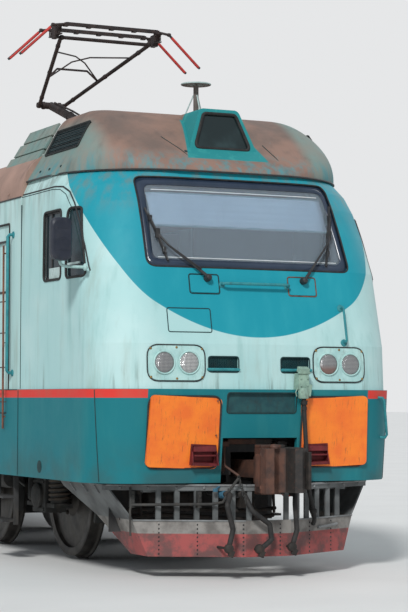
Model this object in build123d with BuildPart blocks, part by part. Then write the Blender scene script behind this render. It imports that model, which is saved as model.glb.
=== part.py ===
from build123d import *

import math
import os

# Electric locomotive with two cabs and two three-axle bogies.
# Millimetres. X is across, Y along the track, Z up from the flange tips.
# The cab drawn in detail faces -Y, and the other end is the same cab turned half round.

os.makedirs("parts", exist_ok=True)

# Running gear sizes
flange_radius = 655
tread_radius = 625
flange_back_to_back = 1440
tyre_width = 140
tyre_thickness = 75
flange_width = 33
hub_radius = 160
hub_width = 180
web_thickness = 34
axle_radius = 105
journal_radius = 85
journal_end = 1165
journal_clearance = 0.5
axle_spacing = 2300
bogie_pivot_y = 4000
axle_z = flange_radius

# Body sizes
nose_y = -8900
body_half_width = 1550
wall = 60
skirt_bottom = 868
ledge_z = 1725
ledge_out = 22
ledge_front_out = 50
eaves_z = 3645
hood_base_z = 3787
hood_top_z = 4475
roof_crown_z = 4230
roof_skin = 40
cab_depth = 2220
cab_back_y = nose_y + cab_depth
hood_back_y = cab_back_y
bow_radius = 20000
panel_gap = 6

# Floor and frame sizes
floor_top = 1470
floor_thickness = 40
sill_depth = 280
sill_width = 100
frame_half_width = body_half_width - wall


def save(piece, name):
    piece.part.label = name
    export_step(piece.part, f"parts/{name}.step")


def turned(shape):
    """The same shape at the other end of the locomotive."""
    return shape.rotate(Axis.Z, 180)


def side_plane(side, x):
    """Plane across a side wall: its x runs along the track and its y runs up."""
    return Plane((side * x, 0, 0), x_dir=(0, 1, 0), z_dir=(1, 0, 0))


def rod(start, end, radius):
    """Round bar between two points."""
    run = Vector(*end) - Vector(*start)
    plane = Plane(origin=start, z_dir=run)
    with BuildPart() as bar:
        with BuildSketch(plane):
            Circle(radius)
        extrude(amount=run.length)
    return bar.part


def bars(*specs):
    with BuildPart() as group:
        for start, end, radius in specs:
            add(rod(start, end, radius))
    return group.part


def cab_outline(z, front, half_width, bow_end, inset=0, back=cab_back_y):
    """Plan outline of the cab at one height: bowed front, round corners, straight sides."""
    half = half_width - inset
    edge = bow_end - inset * 0.5
    y_front = nose_y + front + inset
    turn = math.asin(edge / bow_radius)
    y_edge = y_front + bow_radius * (1 - math.cos(turn))
    radius = (half - edge) / (1 - math.sin(turn))
    centre = (edge - radius * math.sin(turn), y_edge + radius * math.cos(turn))
    middle = math.radians(-45) + turn / 2
    arc_x = centre[0] + radius * math.cos(middle)
    arc_y = centre[1] + radius * math.sin(middle)
    with BuildSketch(Plane.XY.offset(z)) as outline:
        with BuildLine():
            ThreePointArc((-edge, y_edge), (0, y_front), (edge, y_edge))
            ThreePointArc((edge, y_edge), (arc_x, arc_y), (half, centre[1]))
            Line((half, centre[1]), (half, back))
            Line((half, back), (-half, back))
            Line((-half, back), (-half, centre[1]))
            ThreePointArc((-half, centre[1]), (-arc_x, arc_y), (-edge, y_edge))
        make_face()
    return outline.sketch


def cab_solid(levels, inset=0, back=cab_back_y, ruled=True):
    """Solid through the plan outlines in a table of (z, front, half width, bow end)."""
    outlines = [cab_outline(z, front, half, bow, inset, back) for z, front, half, bow in levels]
    with BuildPart() as solid:
        loft(outlines, ruled=ruled)
    return solid.part


# Heights of the cab's plan outlines: z, front set back from the lamp plane, half width, bow end
cab_levels = [
    (ledge_z, 0, body_half_width, 1060),
    (2140, 20, body_half_width, 1050),
    (2850, 175, body_half_width, 990),
    (3200, 325, body_half_width - 2, 930),
    (3475, 450, body_half_width - 5, 845),
    (eaves_z, 530, body_half_width - 10, 720),
    (hood_base_z, 598, body_half_width - 70, 540),
]
apron_levels = [
    (skirt_bottom, 45, body_half_width + ledge_out, 1060),
    (ledge_z, -ledge_front_out, body_half_width + ledge_out, 1060),
]
hood_side_lean = 0.6
hood_levels = [
    (hood_base_z, 560, 1505, 500),
    (3990, 745, 1378, 860),
    (4190, 985, 1258, 1000),
    (4360, 1230, 1157, 940),
    (4445, 1430, 1080, 880),
    (hood_top_z, 1580, 1000, 840),
]


def front_at(z):
    """How far the cab front is set back from the lamp plane at a height."""
    for (low_z, low_front, _, _), (high_z, high_front, _, _) in zip(cab_levels, cab_levels[1:]):
        if z <= high_z:
            break
    return low_front + (high_front - low_front) * (z - low_z) / (high_z - low_z)


# Window places
screen_bottom_z = 2850
screen_top_z = 3722
screen_bottom_half = 1060
screen_top_half = 1015
screen_corner = 85
glass_thickness = 14
glass_set_in = 18
side_window_bottom = 2765
side_window_top = 3425
side_window_front = nose_y + 555
side_window_post = nose_y + 1120
side_window_back = nose_y + 1580
side_window_corner = 45
post_width = 130
quarter_slant = 265


def screen_block():
    """Block that cuts the windscreen's opening and trims its glass."""
    points = [
        (-screen_bottom_half, screen_bottom_z),
        (screen_bottom_half, screen_bottom_z),
        (screen_top_half, screen_top_z),
        (-screen_top_half, screen_top_z),
    ]
    with BuildPart() as block:
        with BuildSketch(Plane.XZ.offset(-nose_y + 200)) as face:
            with BuildLine():
                Polyline(*points, close=True)
            make_face()
            fillet(face.vertices(), screen_corner)
        extrude(amount=-1250)
    return block.part


def side_window_block():
    """Blocks for the two panes of each cab side: a quarter light and a sliding pane."""
    quarter = [
        (side_window_front, side_window_bottom),
        (side_window_post - post_width, side_window_bottom),
        (side_window_post - post_width, side_window_top),
        (side_window_front + quarter_slant, side_window_top),
    ]
    slider = [
        (side_window_post, side_window_bottom),
        (side_window_back, side_window_bottom),
        (side_window_back, side_window_top),
        (side_window_post, side_window_top),
    ]
    with BuildPart() as blocks:
        for side in (-1, 1):
            with BuildSketch(side_plane(side, 1200)) as panes:
                for pane in (quarter, slider):
                    with BuildLine():
                        Polyline(*pane, close=True)
                    make_face()
                fillet(panes.vertices(), side_window_corner)
            extrude(amount=side * 500)
    return blocks.part


# Lamps: plates with two lamps each, set in the cab front
lamp_xs = (721, 964)
lamp_z = 1964
lamp_radius = 100
lamp_depth = 32
bezel_width = 14
plate_x = (560, 1130)
plate_z = (1795, 2126)
plate_thickness = 24
plate_seat = 10
plate_middle_x = sum(plate_x) / 2
plate_size = (plate_x[1] - plate_x[0], plate_z[1] - plate_z[0])
plate_corner = 95


def bow_set_back(x):
    return bow_radius - math.sqrt(bow_radius**2 - x**2)


def face_plane(x, z, front, lean):
    """Plane on the bowed cab front at x and z: its own z points out of the face."""
    turn = math.degrees(math.asin(x / bow_radius))
    return Plane(Location((x, nose_y + front + bow_set_back(x), z), (90 - lean, 0, turn)))


def lamp_plane(side):
    middle_z = sum(plate_z) / 2
    lean = math.degrees(math.atan2(front_at(plate_z[1]) - front_at(plate_z[0]), plate_size[1]))
    return face_plane(side * plate_middle_x, middle_z, front_at(middle_z), lean)


def lamp_spots(side):
    return [(side * (x - plate_middle_x), lamp_z - sum(plate_z) / 2) for x in lamp_xs]


def lamp_seats():
    """Solid that the plates and lamp bodies take out of the cab shell."""
    with BuildPart() as seats:
        for side in (-1, 1):
            with BuildSketch(lamp_plane(side).offset(-plate_seat)):
                RectangleRounded(*plate_size, plate_corner)
            extrude(amount=plate_seat + 60)
            with BuildSketch(lamp_plane(side).offset(-lamp_depth)):
                with Locations(*lamp_spots(side)):
                    Circle(lamp_radius)
            extrude(amount=lamp_depth)
    return seats.part


with BuildPart() as lamp_plates:
    for side in (-1, 1):
        with BuildSketch(lamp_plane(side).offset(-plate_seat)):
            RectangleRounded(*plate_size, plate_corner)
            with Locations(*lamp_spots(side)):
                Circle(lamp_radius, mode=Mode.SUBTRACT)
        extrude(amount=plate_thickness)
    add(turned(lamp_plates.part))
save(lamp_plates, "lamp_plates")

with BuildPart() as cab_lamps:
    for side in (-1, 1):
        with BuildSketch(lamp_plane(side).offset(-lamp_depth)):
            with Locations(*lamp_spots(side)):
                Circle(lamp_radius)
        extrude(amount=lamp_depth + 12)
        with BuildSketch(lamp_plane(side).offset(12)):
            with Locations(*lamp_spots(side)):
                Circle(lamp_radius)
                Circle(lamp_radius - bezel_width, mode=Mode.SUBTRACT)
        extrude(amount=10)
# Orange end panels on the apron, with step boxes at their lower inner corners
panel_x = (420, 1130)
panel_z = (1005, 1659)
panel_corner = 45
panel_seat = 12
panel_thickness = 26
panel_size = (panel_x[1] - panel_x[0], panel_z[1] - panel_z[0])
step_box_size = (250, 190)
step_box_margin = (30, 34)
step_box_depth = 42


def apron_plane(side):
    (low_z, low_front, _, _), (high_z, high_front, _, _) = apron_levels
    slope = (high_front - low_front) / (high_z - low_z)
    middle_z = sum(panel_z) / 2
    front = low_front + slope * (middle_z - low_z)
    return face_plane(side * sum(panel_x) / 2, middle_z, front, math.degrees(math.atan(slope)))


def step_box_spot(side):
    x = -side * (panel_size[0] / 2 - step_box_size[0] / 2 - step_box_margin[0])
    return (x, -panel_size[1] / 2 + step_box_size[1] / 2 + step_box_margin[1])


def panel_seats():
    """Solid that the end panels take out of the apron."""
    with BuildPart() as seats:
        for side in (-1, 1):
            with BuildSketch(apron_plane(side).offset(-panel_seat)) as face:
                Rectangle(*panel_size)
                fillet(face.vertices(), panel_corner)
            extrude(amount=panel_seat + 60)
    return seats.part


with BuildPart() as end_panels:
    for side in (-1, 1):
        with BuildSketch(apron_plane(side).offset(-panel_seat)) as face:
            Rectangle(*panel_size)
            fillet(face.vertices(), panel_corner)
            with Locations(step_box_spot(side)):
                Rectangle(*step_box_size, mode=Mode.SUBTRACT)
        extrude(amount=panel_thickness)
    add(turned(end_panels.part))
save(end_panels, "end_panels")

with BuildPart() as step_boxes:
    for side in (-1, 1):
        low_plane = apron_plane(side).offset(-panel_seat)
        with BuildSketch(low_plane):
            with Locations(step_box_spot(side)):
                Rectangle(*step_box_size)
        extrude(amount=6)
        with BuildSketch(low_plane.offset(6)):
            with Locations(step_box_spot(side)):
                Rectangle(*step_box_size)
                Rectangle(step_box_size[0] - 26, step_box_size[1] - 26, mode=Mode.SUBTRACT)
        extrude(amount=step_box_depth - 6)
        with BuildSketch(low_plane.offset(6)):
            x, y = step_box_spot(side)
            with Locations((x, y - step_box_size[1] / 2 + 13)):
                Rectangle(step_box_size[0], 26)
        extrude(amount=step_box_depth + 40)
    add(turned(step_boxes.part))
save(step_boxes, "step_boxes")

# Cab shell
handle_recess_x = (220, 523)
handle_recess_z = (1883, 2022)
handle_recess_depth = 70
cab_outer = cab_solid(cab_levels)
cab_inner = cab_solid(cab_levels, inset=wall, back=cab_back_y + 50)
apron_outer = cab_solid(apron_levels)
with BuildPart() as cab_shell_front:
    add(cab_outer)
    add(cab_inner, mode=Mode.SUBTRACT)
    add(screen_block(), mode=Mode.SUBTRACT)
    add(side_window_block(), mode=Mode.SUBTRACT)
    add(lamp_seats(), mode=Mode.SUBTRACT)
    for side in (-1, 1):
        middle_x = side * (handle_recess_x[0] + handle_recess_x[1]) / 2
        middle_z = (handle_recess_z[0] + handle_recess_z[1]) / 2
        with Locations((middle_x, nose_y, middle_z)):
            Box(
                handle_recess_x[1] - handle_recess_x[0],
                handle_recess_depth,
                handle_recess_z[1] - handle_recess_z[0],
                mode=Mode.SUBTRACT,
            )
save(cab_shell_front, "cab_shell_front")
with BuildPart() as cab_shell_rear:
    add(turned(cab_shell_front.part))
save(cab_shell_rear, "cab_shell_rear")

# Window glass, set in the thickness of the walls
glass_outer = cab_solid(cab_levels, inset=glass_set_in)
glass_inner = cab_solid(cab_levels, inset=glass_set_in + glass_thickness, back=cab_back_y + 50)
with BuildPart() as windscreens:
    add(glass_outer)
    add(glass_inner, mode=Mode.SUBTRACT)
    add(screen_block(), mode=Mode.INTERSECT)
    add(turned(windscreens.part))
save(windscreens, "windscreens")

# Apron: the proud lower band round the cab, with its pockets
pocket_half = 385
pocket_top = 1278
number_box_half = 355
number_box_z = (1507, 1690)
apron_wall = 45
with BuildPart() as apron_front:
    add(apron_outer)
    add(
        cab_solid(
            [
                (skirt_bottom - 10, 45, body_half_width + ledge_out, 1060),
                (ledge_z - 30, -ledge_front_out, body_half_width + ledge_out, 1060),
            ],
            inset=apron_wall,
            back=cab_back_y + 50,
        ),
        mode=Mode.SUBTRACT,
    )
    with Locations((0, nose_y, (skirt_bottom + pocket_top) / 2 - 20)):
        Box(2 * pocket_half, 600, pocket_top - skirt_bottom + 40, mode=Mode.SUBTRACT)
    with Locations((0, nose_y - ledge_front_out, sum(number_box_z) / 2)):
        Box(2 * number_box_half, 70, number_box_z[1] - number_box_z[0], mode=Mode.SUBTRACT)
    add(panel_seats(), mode=Mode.SUBTRACT)
    # The ring that stands under the cab shell is open inside
    with Locations((0, nose_y + 700 + 1000, ledge_z)):
        Box(2 * frame_half_width - 20, 3000 - 400, 200, mode=Mode.SUBTRACT)
save(apron_front, "apron_front")
with BuildPart() as apron_rear:
    add(turned(apron_front.part))
save(apron_rear, "apron_rear")

# Roof hood with its side grille openings and the lamp dormer
grille_front_y = nose_y + 1230
grille_back_y = nose_y + 2100
grille_slant = 65
grille_low_z = 4050
grille_high_z = 4310
grille_depth = 70
dormer_base_half = 400
dormer_top_half = 205
dormer_base_z = 3940
dormer_top_z = 4450
dormer_front_y = nose_y + 790
dormer_lean = 120
with BuildPart() as dormer:
    with BuildSketch(Plane.XZ.offset(-(dormer_front_y + 900))) as dormer_face:
        with BuildLine():
            Polyline(
                (-dormer_base_half, dormer_base_z),
                (dormer_base_half, dormer_base_z),
                (dormer_top_half, dormer_top_z),
                (-dormer_top_half, dormer_top_z),
                close=True,
            )
        make_face()
        fillet(dormer_face.vertices().group_by(Axis.Y)[-1], 60)
    extrude(amount=900)
    with BuildSketch(Plane.YZ.offset(-600)):
        with BuildLine():
            Polyline(
                (dormer_front_y - 300, dormer_base_z - 100),
                (dormer_front_y, dormer_base_z),
                (dormer_front_y + dormer_lean, dormer_top_z),
                (dormer_front_y + dormer_lean + 20, dormer_top_z + 100),
                (dormer_front_y - 300, dormer_top_z + 100),
                close=True,
            )
        make_face()
    extrude(amount=1200, mode=Mode.SUBTRACT)

dormer_slope = math.degrees(math.atan(dormer_lean / (dormer_top_z - dormer_base_z)))
dormer_middle = (0, dormer_front_y + dormer_lean / 2, (dormer_base_z + dormer_top_z) / 2)
dormer_plane = Plane(Location(dormer_middle, (90 - dormer_slope, 0, 0)))
dormer_glass_depth = 15
dormer_pocket_depth = 110


def dormer_pane(depth, thickness):
    """Trapezoid slab behind the dormer's front face."""
    with BuildPart() as pane:
        with BuildSketch(dormer_plane.offset(-depth)) as face:
            with BuildLine():
                Polyline((-300, -150), (300, -150), (172, 212), (-172, 212), close=True)
            make_face()
            fillet(face.vertices(), 30)
        extrude(amount=thickness)
    return pane.part


hood_base_half = hood_levels[0][2]
lean_stretch = math.hypot(1, hood_side_lean)


def lean_plane(depth):
    """Plane under the hood's leaning right side: its x runs along the track and its y up the side."""
    normal = Vector(1, 0, hood_side_lean).normalized()
    origin = Vector(hood_base_half, 0, hood_base_z) - normal * depth
    return Plane(origin, x_dir=(0, 1, 0), z_dir=normal)


def grille_slab(depth, thickness, margin=0):
    """Slab with the grille's outline, from a depth under the right side of the hood outwards."""
    low = (grille_low_z - hood_base_z) * lean_stretch + margin
    high = (grille_high_z - hood_base_z) * lean_stretch - margin
    with BuildPart() as slab:
        with BuildSketch(lean_plane(depth)):
            with BuildLine():
                Polyline(
                    (grille_front_y + margin, low),
                    (grille_back_y - margin, low),
                    (grille_back_y + grille_slant - margin, high),
                    (grille_front_y + grille_slant + margin, high),
                    close=True,
                )
            make_face()
        extrude(amount=thickness)
    return slab.part


with BuildPart() as hood_front:
    add(cab_solid(hood_levels, back=hood_back_y, ruled=False))
    add(dormer.part)
    add(dormer_pane(dormer_pocket_depth, dormer_pocket_depth + 60), mode=Mode.SUBTRACT)
    grille_pocket = grille_slab(grille_depth, grille_depth + 80)
    add(grille_pocket, mode=Mode.SUBTRACT)
    add(grille_pocket.mirror(Plane.YZ), mode=Mode.SUBTRACT)
with BuildPart() as roof_hoods:
    add(hood_front.part)
    add(turned(hood_front.part))
save(roof_hoods, "roof_hoods")

# Dormer lamp: glass in the dormer's front with a round lamp behind it
dormer_lamp_radius = 135
with BuildPart() as lamps:
    add(cab_lamps.part)
    add(dormer_pane(dormer_glass_depth, 8))
    with BuildSketch(dormer_plane.offset(-dormer_pocket_depth)):
        Circle(dormer_lamp_radius)
    extrude(amount=60)
    with BuildSketch(dormer_plane.offset(-dormer_pocket_depth + 60)):
        Circle(dormer_lamp_radius)
        Circle(dormer_lamp_radius - 18, mode=Mode.SUBTRACT)
    extrude(amount=20)
    add(turned(lamps.part))
save(lamps, "lamps")

# Side walls between the cabs: door openings, windows and air grilles
door_width = 650
door_low_z = floor_top + 10
door_high_z = 3400
door_front_y = nose_y + 2560
door_back_y = door_front_y + door_width
side_bays = [
    # centre y, width, low z, high z, fitted with
    (-4700, 900, 2700, 3400, "louvre"),
    (-3600, 700, 2830, 3330, "window"),
    (-2500, 900, 2700, 3400, "louvre"),
    (-1400, 700, 2830, 3330, "window"),
    (0, 1200, 2700, 3400, "louvre"),
    (1400, 700, 2830, 3330, "window"),
    (2500, 900, 2700, 3400, "louvre"),
    (3600, 700, 2830, 3330, "window"),
    (4700, 900, 2700, 3400, "louvre"),
]


def side_wall(side):
    middle_x = side * (body_half_width - wall / 2)
    length = 2 * (-cab_back_y) - 2 * panel_gap
    door_middle_z = (door_low_z + door_high_z) / 2
    with BuildPart() as panel:
        with Locations((middle_x, 0, (skirt_bottom + eaves_z) / 2)):
            Box(wall, length, eaves_z - skirt_bottom)
        with Locations((side * (body_half_width + ledge_out / 2), 0, (skirt_bottom + ledge_z) / 2)):
            Box(ledge_out, length, ledge_z - skirt_bottom)
        for end in (-1, 1):
            door_y = -end * (door_front_y + door_back_y) / 2
            with Locations((side * body_half_width, door_y, door_middle_z)):
                Box(400, door_width, door_high_z - door_low_z, mode=Mode.SUBTRACT)
        for bay_y, width, low, high, fitting in side_bays:
            with Locations((middle_x, bay_y, (low + high) / 2)):
                Box(2 * wall, width, high - low, mode=Mode.SUBTRACT)
    return panel.part


with BuildPart() as side_wall_left:
    add(side_wall(-1))
save(side_wall_left, "side_wall_left")
with BuildPart() as side_wall_right:
    add(side_wall(1))
save(side_wall_right, "side_wall_right")

# Louvres in the side bays: a frame with slats sloped down and out
slat_pitch = 78
slat_thickness = 8
slat_width = 62
slat_slope = 35
bay_frame = 25
louvre_bays = [bay for bay in side_bays if bay[4] == "louvre"]
with BuildPart() as side_grilles:
    for side in (-1, 1):
        frame_x = side * (body_half_width - wall / 2)
        for bay_y, width, low, high, fitting in louvre_bays:
            slat_count = int((high - low - 2 * bay_frame) // slat_pitch)
            slat_heights = [low + bay_frame + slat_pitch * (row + 0.5) for row in range(slat_count)]
            with BuildSketch(side_plane(side, body_half_width - wall + 6)):
                with Locations((bay_y, (low + high) / 2)):
                    Rectangle(width, high - low)
                    Rectangle(width - 2 * bay_frame, high - low - 2 * bay_frame, mode=Mode.SUBTRACT)
            extrude(amount=side * (wall - 12))
            slat_places = [Location((frame_x, bay_y, z), (0, side * slat_slope, 0)) for z in slat_heights]
            with Locations(*slat_places):
                Box(slat_width, width - 2 * bay_frame + 4, slat_thickness)
save(side_grilles, "side_grilles")

with BuildPart() as cab_glass:
    add(glass_outer)
    add(glass_inner, mode=Mode.SUBTRACT)
    add(side_window_block(), mode=Mode.INTERSECT)
with BuildPart() as side_glass:
    add(cab_glass.part)
    add(turned(cab_glass.part))
    for side in (-1, 1):
        for bay_y, width, low, high, fitting in side_bays:
            if fitting == "window":
                with Locations((side * (body_half_width - 25), bay_y, (low + high) / 2)):
                    Box(glass_thickness, width, high - low)
save(side_glass, "side_glass")

# Doors behind each cab, hinged on the edge away from the cab and opening inwards
door_thickness = 45
door_clearance = 7
door_set_in = 12


def side_door(side, end):
    middle_y = end * (door_front_y + door_back_y) / 2
    middle_z = (door_low_z + door_high_z) / 2
    leaf_width = door_width - 2 * door_clearance
    leaf_height = door_high_z - door_low_z - 2 * door_clearance
    middle_x = side * (body_half_width - door_set_in - door_thickness / 2)
    with BuildPart() as leaf:
        with Locations((middle_x, middle_y, middle_z)):
            Box(door_thickness, leaf_width, leaf_height)
        with Locations((middle_x, middle_y, door_high_z - 430)):
            Box(2 * door_thickness, leaf_width - 190, 520, mode=Mode.SUBTRACT)
            Box(glass_thickness, leaf_width - 190, 520)
        with Locations((side * (body_half_width - door_set_in), middle_y - end * 220, middle_z - 250)):
            Box(30, 110, 24)
    return leaf.part


door_places = [("left", -1), ("right", 1)]
for end_name, end in (("front", 1), ("rear", -1)):
    for side_name, side in door_places:
        with BuildPart() as door:
            add(side_door(side, end))
        save(door, f"door_{end_name}_{side_name}")

# Main roof: arched shell with raised hatches
roof_shoulder = (1525, 4085)
roof_fillet = 430
roof_end = -hood_back_y


def roof_solid(inset, reach):
    """Arched roof over the given reach each way from mid-length, made smaller by the inset."""
    half = body_half_width - inset
    shoulder_x = roof_shoulder[0] - inset
    shoulder_z = roof_shoulder[1] - inset
    low = eaves_z - (50 if inset else 0)
    with BuildPart() as roof:
        with BuildSketch(Plane.XZ):
            with BuildLine():
                Polyline(
                    (-half, low),
                    (-shoulder_x, shoulder_z),
                    (0, roof_crown_z - inset),
                    (shoulder_x, shoulder_z),
                    (half, low),
                    close=True,
                )
            make_face()
        extrude(amount=reach, both=True)
        shoulder_edges = [
            edge for edge in roof.edges().filter_by(Axis.Y) if abs(edge.center().Z - shoulder_z) < 1
        ]
        fillet(shoulder_edges, roof_fillet - inset)
    return roof.part


hatch_places = [
    # centre y, length, width, height
    (-2650, 1500, 1000, 150),
    (0, 1900, 1000, 190),
    (2650, 1500, 1000, 150),
]
roof_outer = roof_solid(0, roof_end)
roof_hollow = roof_solid(roof_skin, roof_end - roof_skin)
with BuildPart() as main_roof:
    add(roof_outer)
    add(roof_hollow, mode=Mode.SUBTRACT)
    for hatch_y, length, width, height in hatch_places:
        with BuildSketch(Plane.XY.offset(roof_crown_z - 90)):
            with Locations((0, hatch_y)):
                RectangleRounded(width, length, 60)
        extrude(amount=90 + height - 60)
save(main_roof, "main_roof")

# Roof screens behind the hood: three leaning slats a side, and the hood's mesh grilles
roof_lean = math.degrees(math.atan(hood_side_lean))
screen_front_y = hood_back_y + 40
screen_back_y = nose_y + 3230
screen_low_z = 4000
screen_slat_count = 3
screen_slat_pitch = 163
screen_slat_width = 142
screen_slat_cut = 60
screen_slat_thickness = 22
screen_post_size = (30, 50, 470)
screen_posts = [120, 500, 860]
mesh_rim = 22
mesh_thickness = 12
mesh_set_in = 4
mesh_bar = 10
mesh_bar_count = 8
backing_thickness = 12


def lean_spot(z, depth):
    """Point at a height, a depth under the hood's right side."""
    x = hood_base_half - hood_side_lean * (z - hood_base_z)
    return (x - depth / lean_stretch, z - depth * hood_side_lean / lean_stretch)


with BuildPart() as screen:
    for row in range(screen_slat_count):
        slat_x, slat_z = lean_spot(screen_low_z + screen_slat_pitch * (row + 0.5) / lean_stretch, 0)
        slat_length = screen_back_y - screen_front_y - row * screen_slat_cut
        with Locations(Location((slat_x, screen_front_y + slat_length / 2, slat_z), (0, -roof_lean, 0))):
            Box(screen_slat_thickness, slat_length, screen_slat_width)
    post_x, post_z = lean_spot(screen_low_z + screen_slat_pitch * screen_slat_count / lean_stretch / 2, 20)
    for post in screen_posts:
        with Locations(Location((post_x, screen_front_y + post, post_z), (0, -roof_lean, 0))):
            Box(*screen_post_size)
    add(roof_outer, mode=Mode.SUBTRACT)
with BuildPart() as mesh_grille:
    add(grille_slab(mesh_set_in + mesh_thickness, mesh_thickness))
    add(grille_slab(mesh_set_in + mesh_thickness + 1, mesh_thickness + 2, mesh_rim), mode=Mode.SUBTRACT)
    grille_low = (grille_low_z - hood_base_z) * lean_stretch
    grille_rise = (grille_high_z - grille_low_z) * lean_stretch
    with BuildSketch(lean_plane(mesh_set_in + mesh_thickness)):
        for row in range(mesh_bar_count):
            share = (row + 1) / (mesh_bar_count + 1)
            shift = grille_slant * share
            with Locations(((grille_front_y + grille_back_y) / 2 + shift, grille_low + grille_rise * share)):
                Rectangle(grille_back_y - grille_front_y - mesh_rim, mesh_bar)
    extrude(amount=mesh_thickness)
    add(grille_slab(grille_depth, backing_thickness))
with BuildPart() as screens_front:
    add(screen.part)
    add(screen.part.mirror(Plane.YZ))
    add(mesh_grille.part)
    add(mesh_grille.part.mirror(Plane.YZ))
with BuildPart() as roof_screens:
    add(screens_front.part)
    add(turned(screens_front.part))
save(roof_screens, "roof_screens")

# Underframe: floor, centre sills and cross bearers
end_beam_y = nose_y + 300
end_beam_size = (2500, 30)
bearer_places = [-7300, -5300, -2700, -900, 900, 2700, 5300, 7300]
bearer_size = (160, 110)
centre_sill = (60, 100)
centre_sill_x = 330
frame_low = floor_top - floor_thickness
with BuildPart() as cab_floor:
    add(cab_outline(frame_low, -16, body_half_width + ledge_out, 1060, inset=apron_wall))
    extrude(amount=floor_thickness)
with BuildPart() as underframe:
    with Locations((0, 0, floor_top - floor_thickness / 2)):
        Box(2 * frame_half_width, -2 * cab_back_y, floor_thickness)
    add(cab_floor.part)
    add(turned(cab_floor.part))
    with Locations(*[(side * centre_sill_x, 0, frame_low - centre_sill[1] / 2) for side in (-1, 1)]):
        Box(centre_sill[0], -2 * (end_beam_y + end_beam_size[1]), centre_sill[1])
    with Locations(*[(0, y, frame_low - bearer_size[1] / 2) for y in bearer_places]):
        Box(2 * (frame_half_width - sill_width), *bearer_size)
save(underframe, "underframe")

# Side sills with the jacking pads
jacking_y = 7300
jacking_pad = (90, 260, 20)
with BuildPart() as side_sills:
    sill_x = frame_half_width - sill_width / 2
    pad_z = frame_low - sill_depth - jacking_pad[2] / 2
    with Locations(*[(side * sill_x, 0, frame_low - sill_depth / 2) for side in (-1, 1)]):
        Box(sill_width, -2 * (nose_y + 800), sill_depth)
    with Locations(*[(x, y, pad_z) for x in (-sill_x, sill_x) for y in (-jacking_y, jacking_y)]):
        Box(*jacking_pad)
save(side_sills, "side_sills")

# End beams with the coupler pockets behind them
end_beam_low = 930
coupler_z = 990
pocket_width = 320
pocket_height = 300
pocket_wall = 30
pocket_length = 870
pocket_low = coupler_z - 130
with BuildPart() as front_beam:
    with Locations((0, end_beam_y + end_beam_size[1] / 2, (end_beam_low + frame_low) / 2)):
        Box(*end_beam_size, frame_low - end_beam_low)
    with Locations((0, end_beam_y, coupler_z)):
        Box(pocket_width, 4 * end_beam_size[1], pocket_height, mode=Mode.SUBTRACT)
    for side in (-1, 1):
        with Locations((side * (pocket_width + pocket_wall) / 2, end_beam_y + pocket_length / 2, 0)):
            with Locations((0, end_beam_size[1] / 2, (pocket_low + frame_low) / 2)):
                Box(pocket_wall, pocket_length - end_beam_size[1], frame_low - pocket_low)
    back_z = (pocket_low + coupler_z + 290) / 2
    with Locations((0, end_beam_y + pocket_length - pocket_wall / 2, back_z)):
        Box(pocket_width + 2 * pocket_wall, pocket_wall, 290 + coupler_z - pocket_low)
with BuildPart() as end_beams:
    add(front_beam.part)
    add(turned(front_beam.part))
save(end_beams, "end_beams")

# Pads over the bogie frames
pad_x = 1080
pad_reach = 600
pad_size = (260, 300)
bogie_pad_top = 1150
bearer_pad_gap = 6
with BuildPart() as bogie_pads:
    pad_low = bogie_pad_top + bearer_pad_gap
    pad_rows = [end * bogie_pivot_y + dy for end in (-1, 1) for dy in (-pad_reach, pad_reach)]
    with Locations(*[(side * pad_x, y, (pad_low + frame_low) / 2) for side in (-1, 1) for y in pad_rows]):
        Box(*pad_size, frame_low - pad_low)
save(bogie_pads, "bogie_pads")

# Cab rear wall with its doorway, driver's desk and seats
bulkhead_y = cab_back_y - 40
with BuildPart() as cab_bulkheads:
    with Locations((0, bulkhead_y, (floor_top + eaves_z) / 2)):
        Box(2 * frame_half_width - 40, 40, eaves_z - floor_top)
    with Locations((0, bulkhead_y, floor_top + 1000)):
        Box(640, 100, 1960, mode=Mode.SUBTRACT)
    add(turned(cab_bulkheads.part))
save(cab_bulkheads, "cab_bulkheads")

desk_top_z = 2560
with BuildPart() as driver_desks:
    with BuildSketch(Plane.YZ.offset(-1250)):
        with BuildLine():
            Polyline(
                (nose_y + 330, floor_top),
                (nose_y + 900, floor_top),
                (nose_y + 900, floor_top + 500),
                (nose_y + 1180, floor_top + 760),
                (nose_y + 1180, floor_top + 820),
                (nose_y + 700, desk_top_z - 110),
                (nose_y + 480, desk_top_z),
                (nose_y + 330, desk_top_z - 60),
                close=True,
            )
        make_face()
    extrude(amount=2500)
    with Locations((0, nose_y + 330, 2000)):
        Box(2600, 160, 1300, mode=Mode.SUBTRACT)
    add(turned(driver_desks.part))
save(driver_desks, "driver_desks")

seat_places = [-620, 620]
seat_y = nose_y + 1560
with BuildPart() as driver_seats:
    for seat_x in seat_places:
        with Locations((seat_x, seat_y, floor_top + 220)):
            Cylinder(70, 440)
        with BuildSketch(Plane.XY.offset(floor_top + 430)):
            with Locations((seat_x, seat_y)):
                RectangleRounded(520, 480, 80)
        extrude(amount=110)
        with BuildSketch(Plane.XZ.offset(-(seat_y + 260))):
            with Locations((seat_x, floor_top + 880)):
                RectangleRounded(480, 760, 100)
        extrude(amount=110)
    add(turned(driver_seats.part))
save(driver_seats, "driver_seats")

# Machine room equipment, closed inside the body
with BuildPart() as machine_block:
    with Locations((0, 0, floor_top + 1000)):
        Box(1700, 10400, 2000)
save(machine_block, "machine_block")

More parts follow.
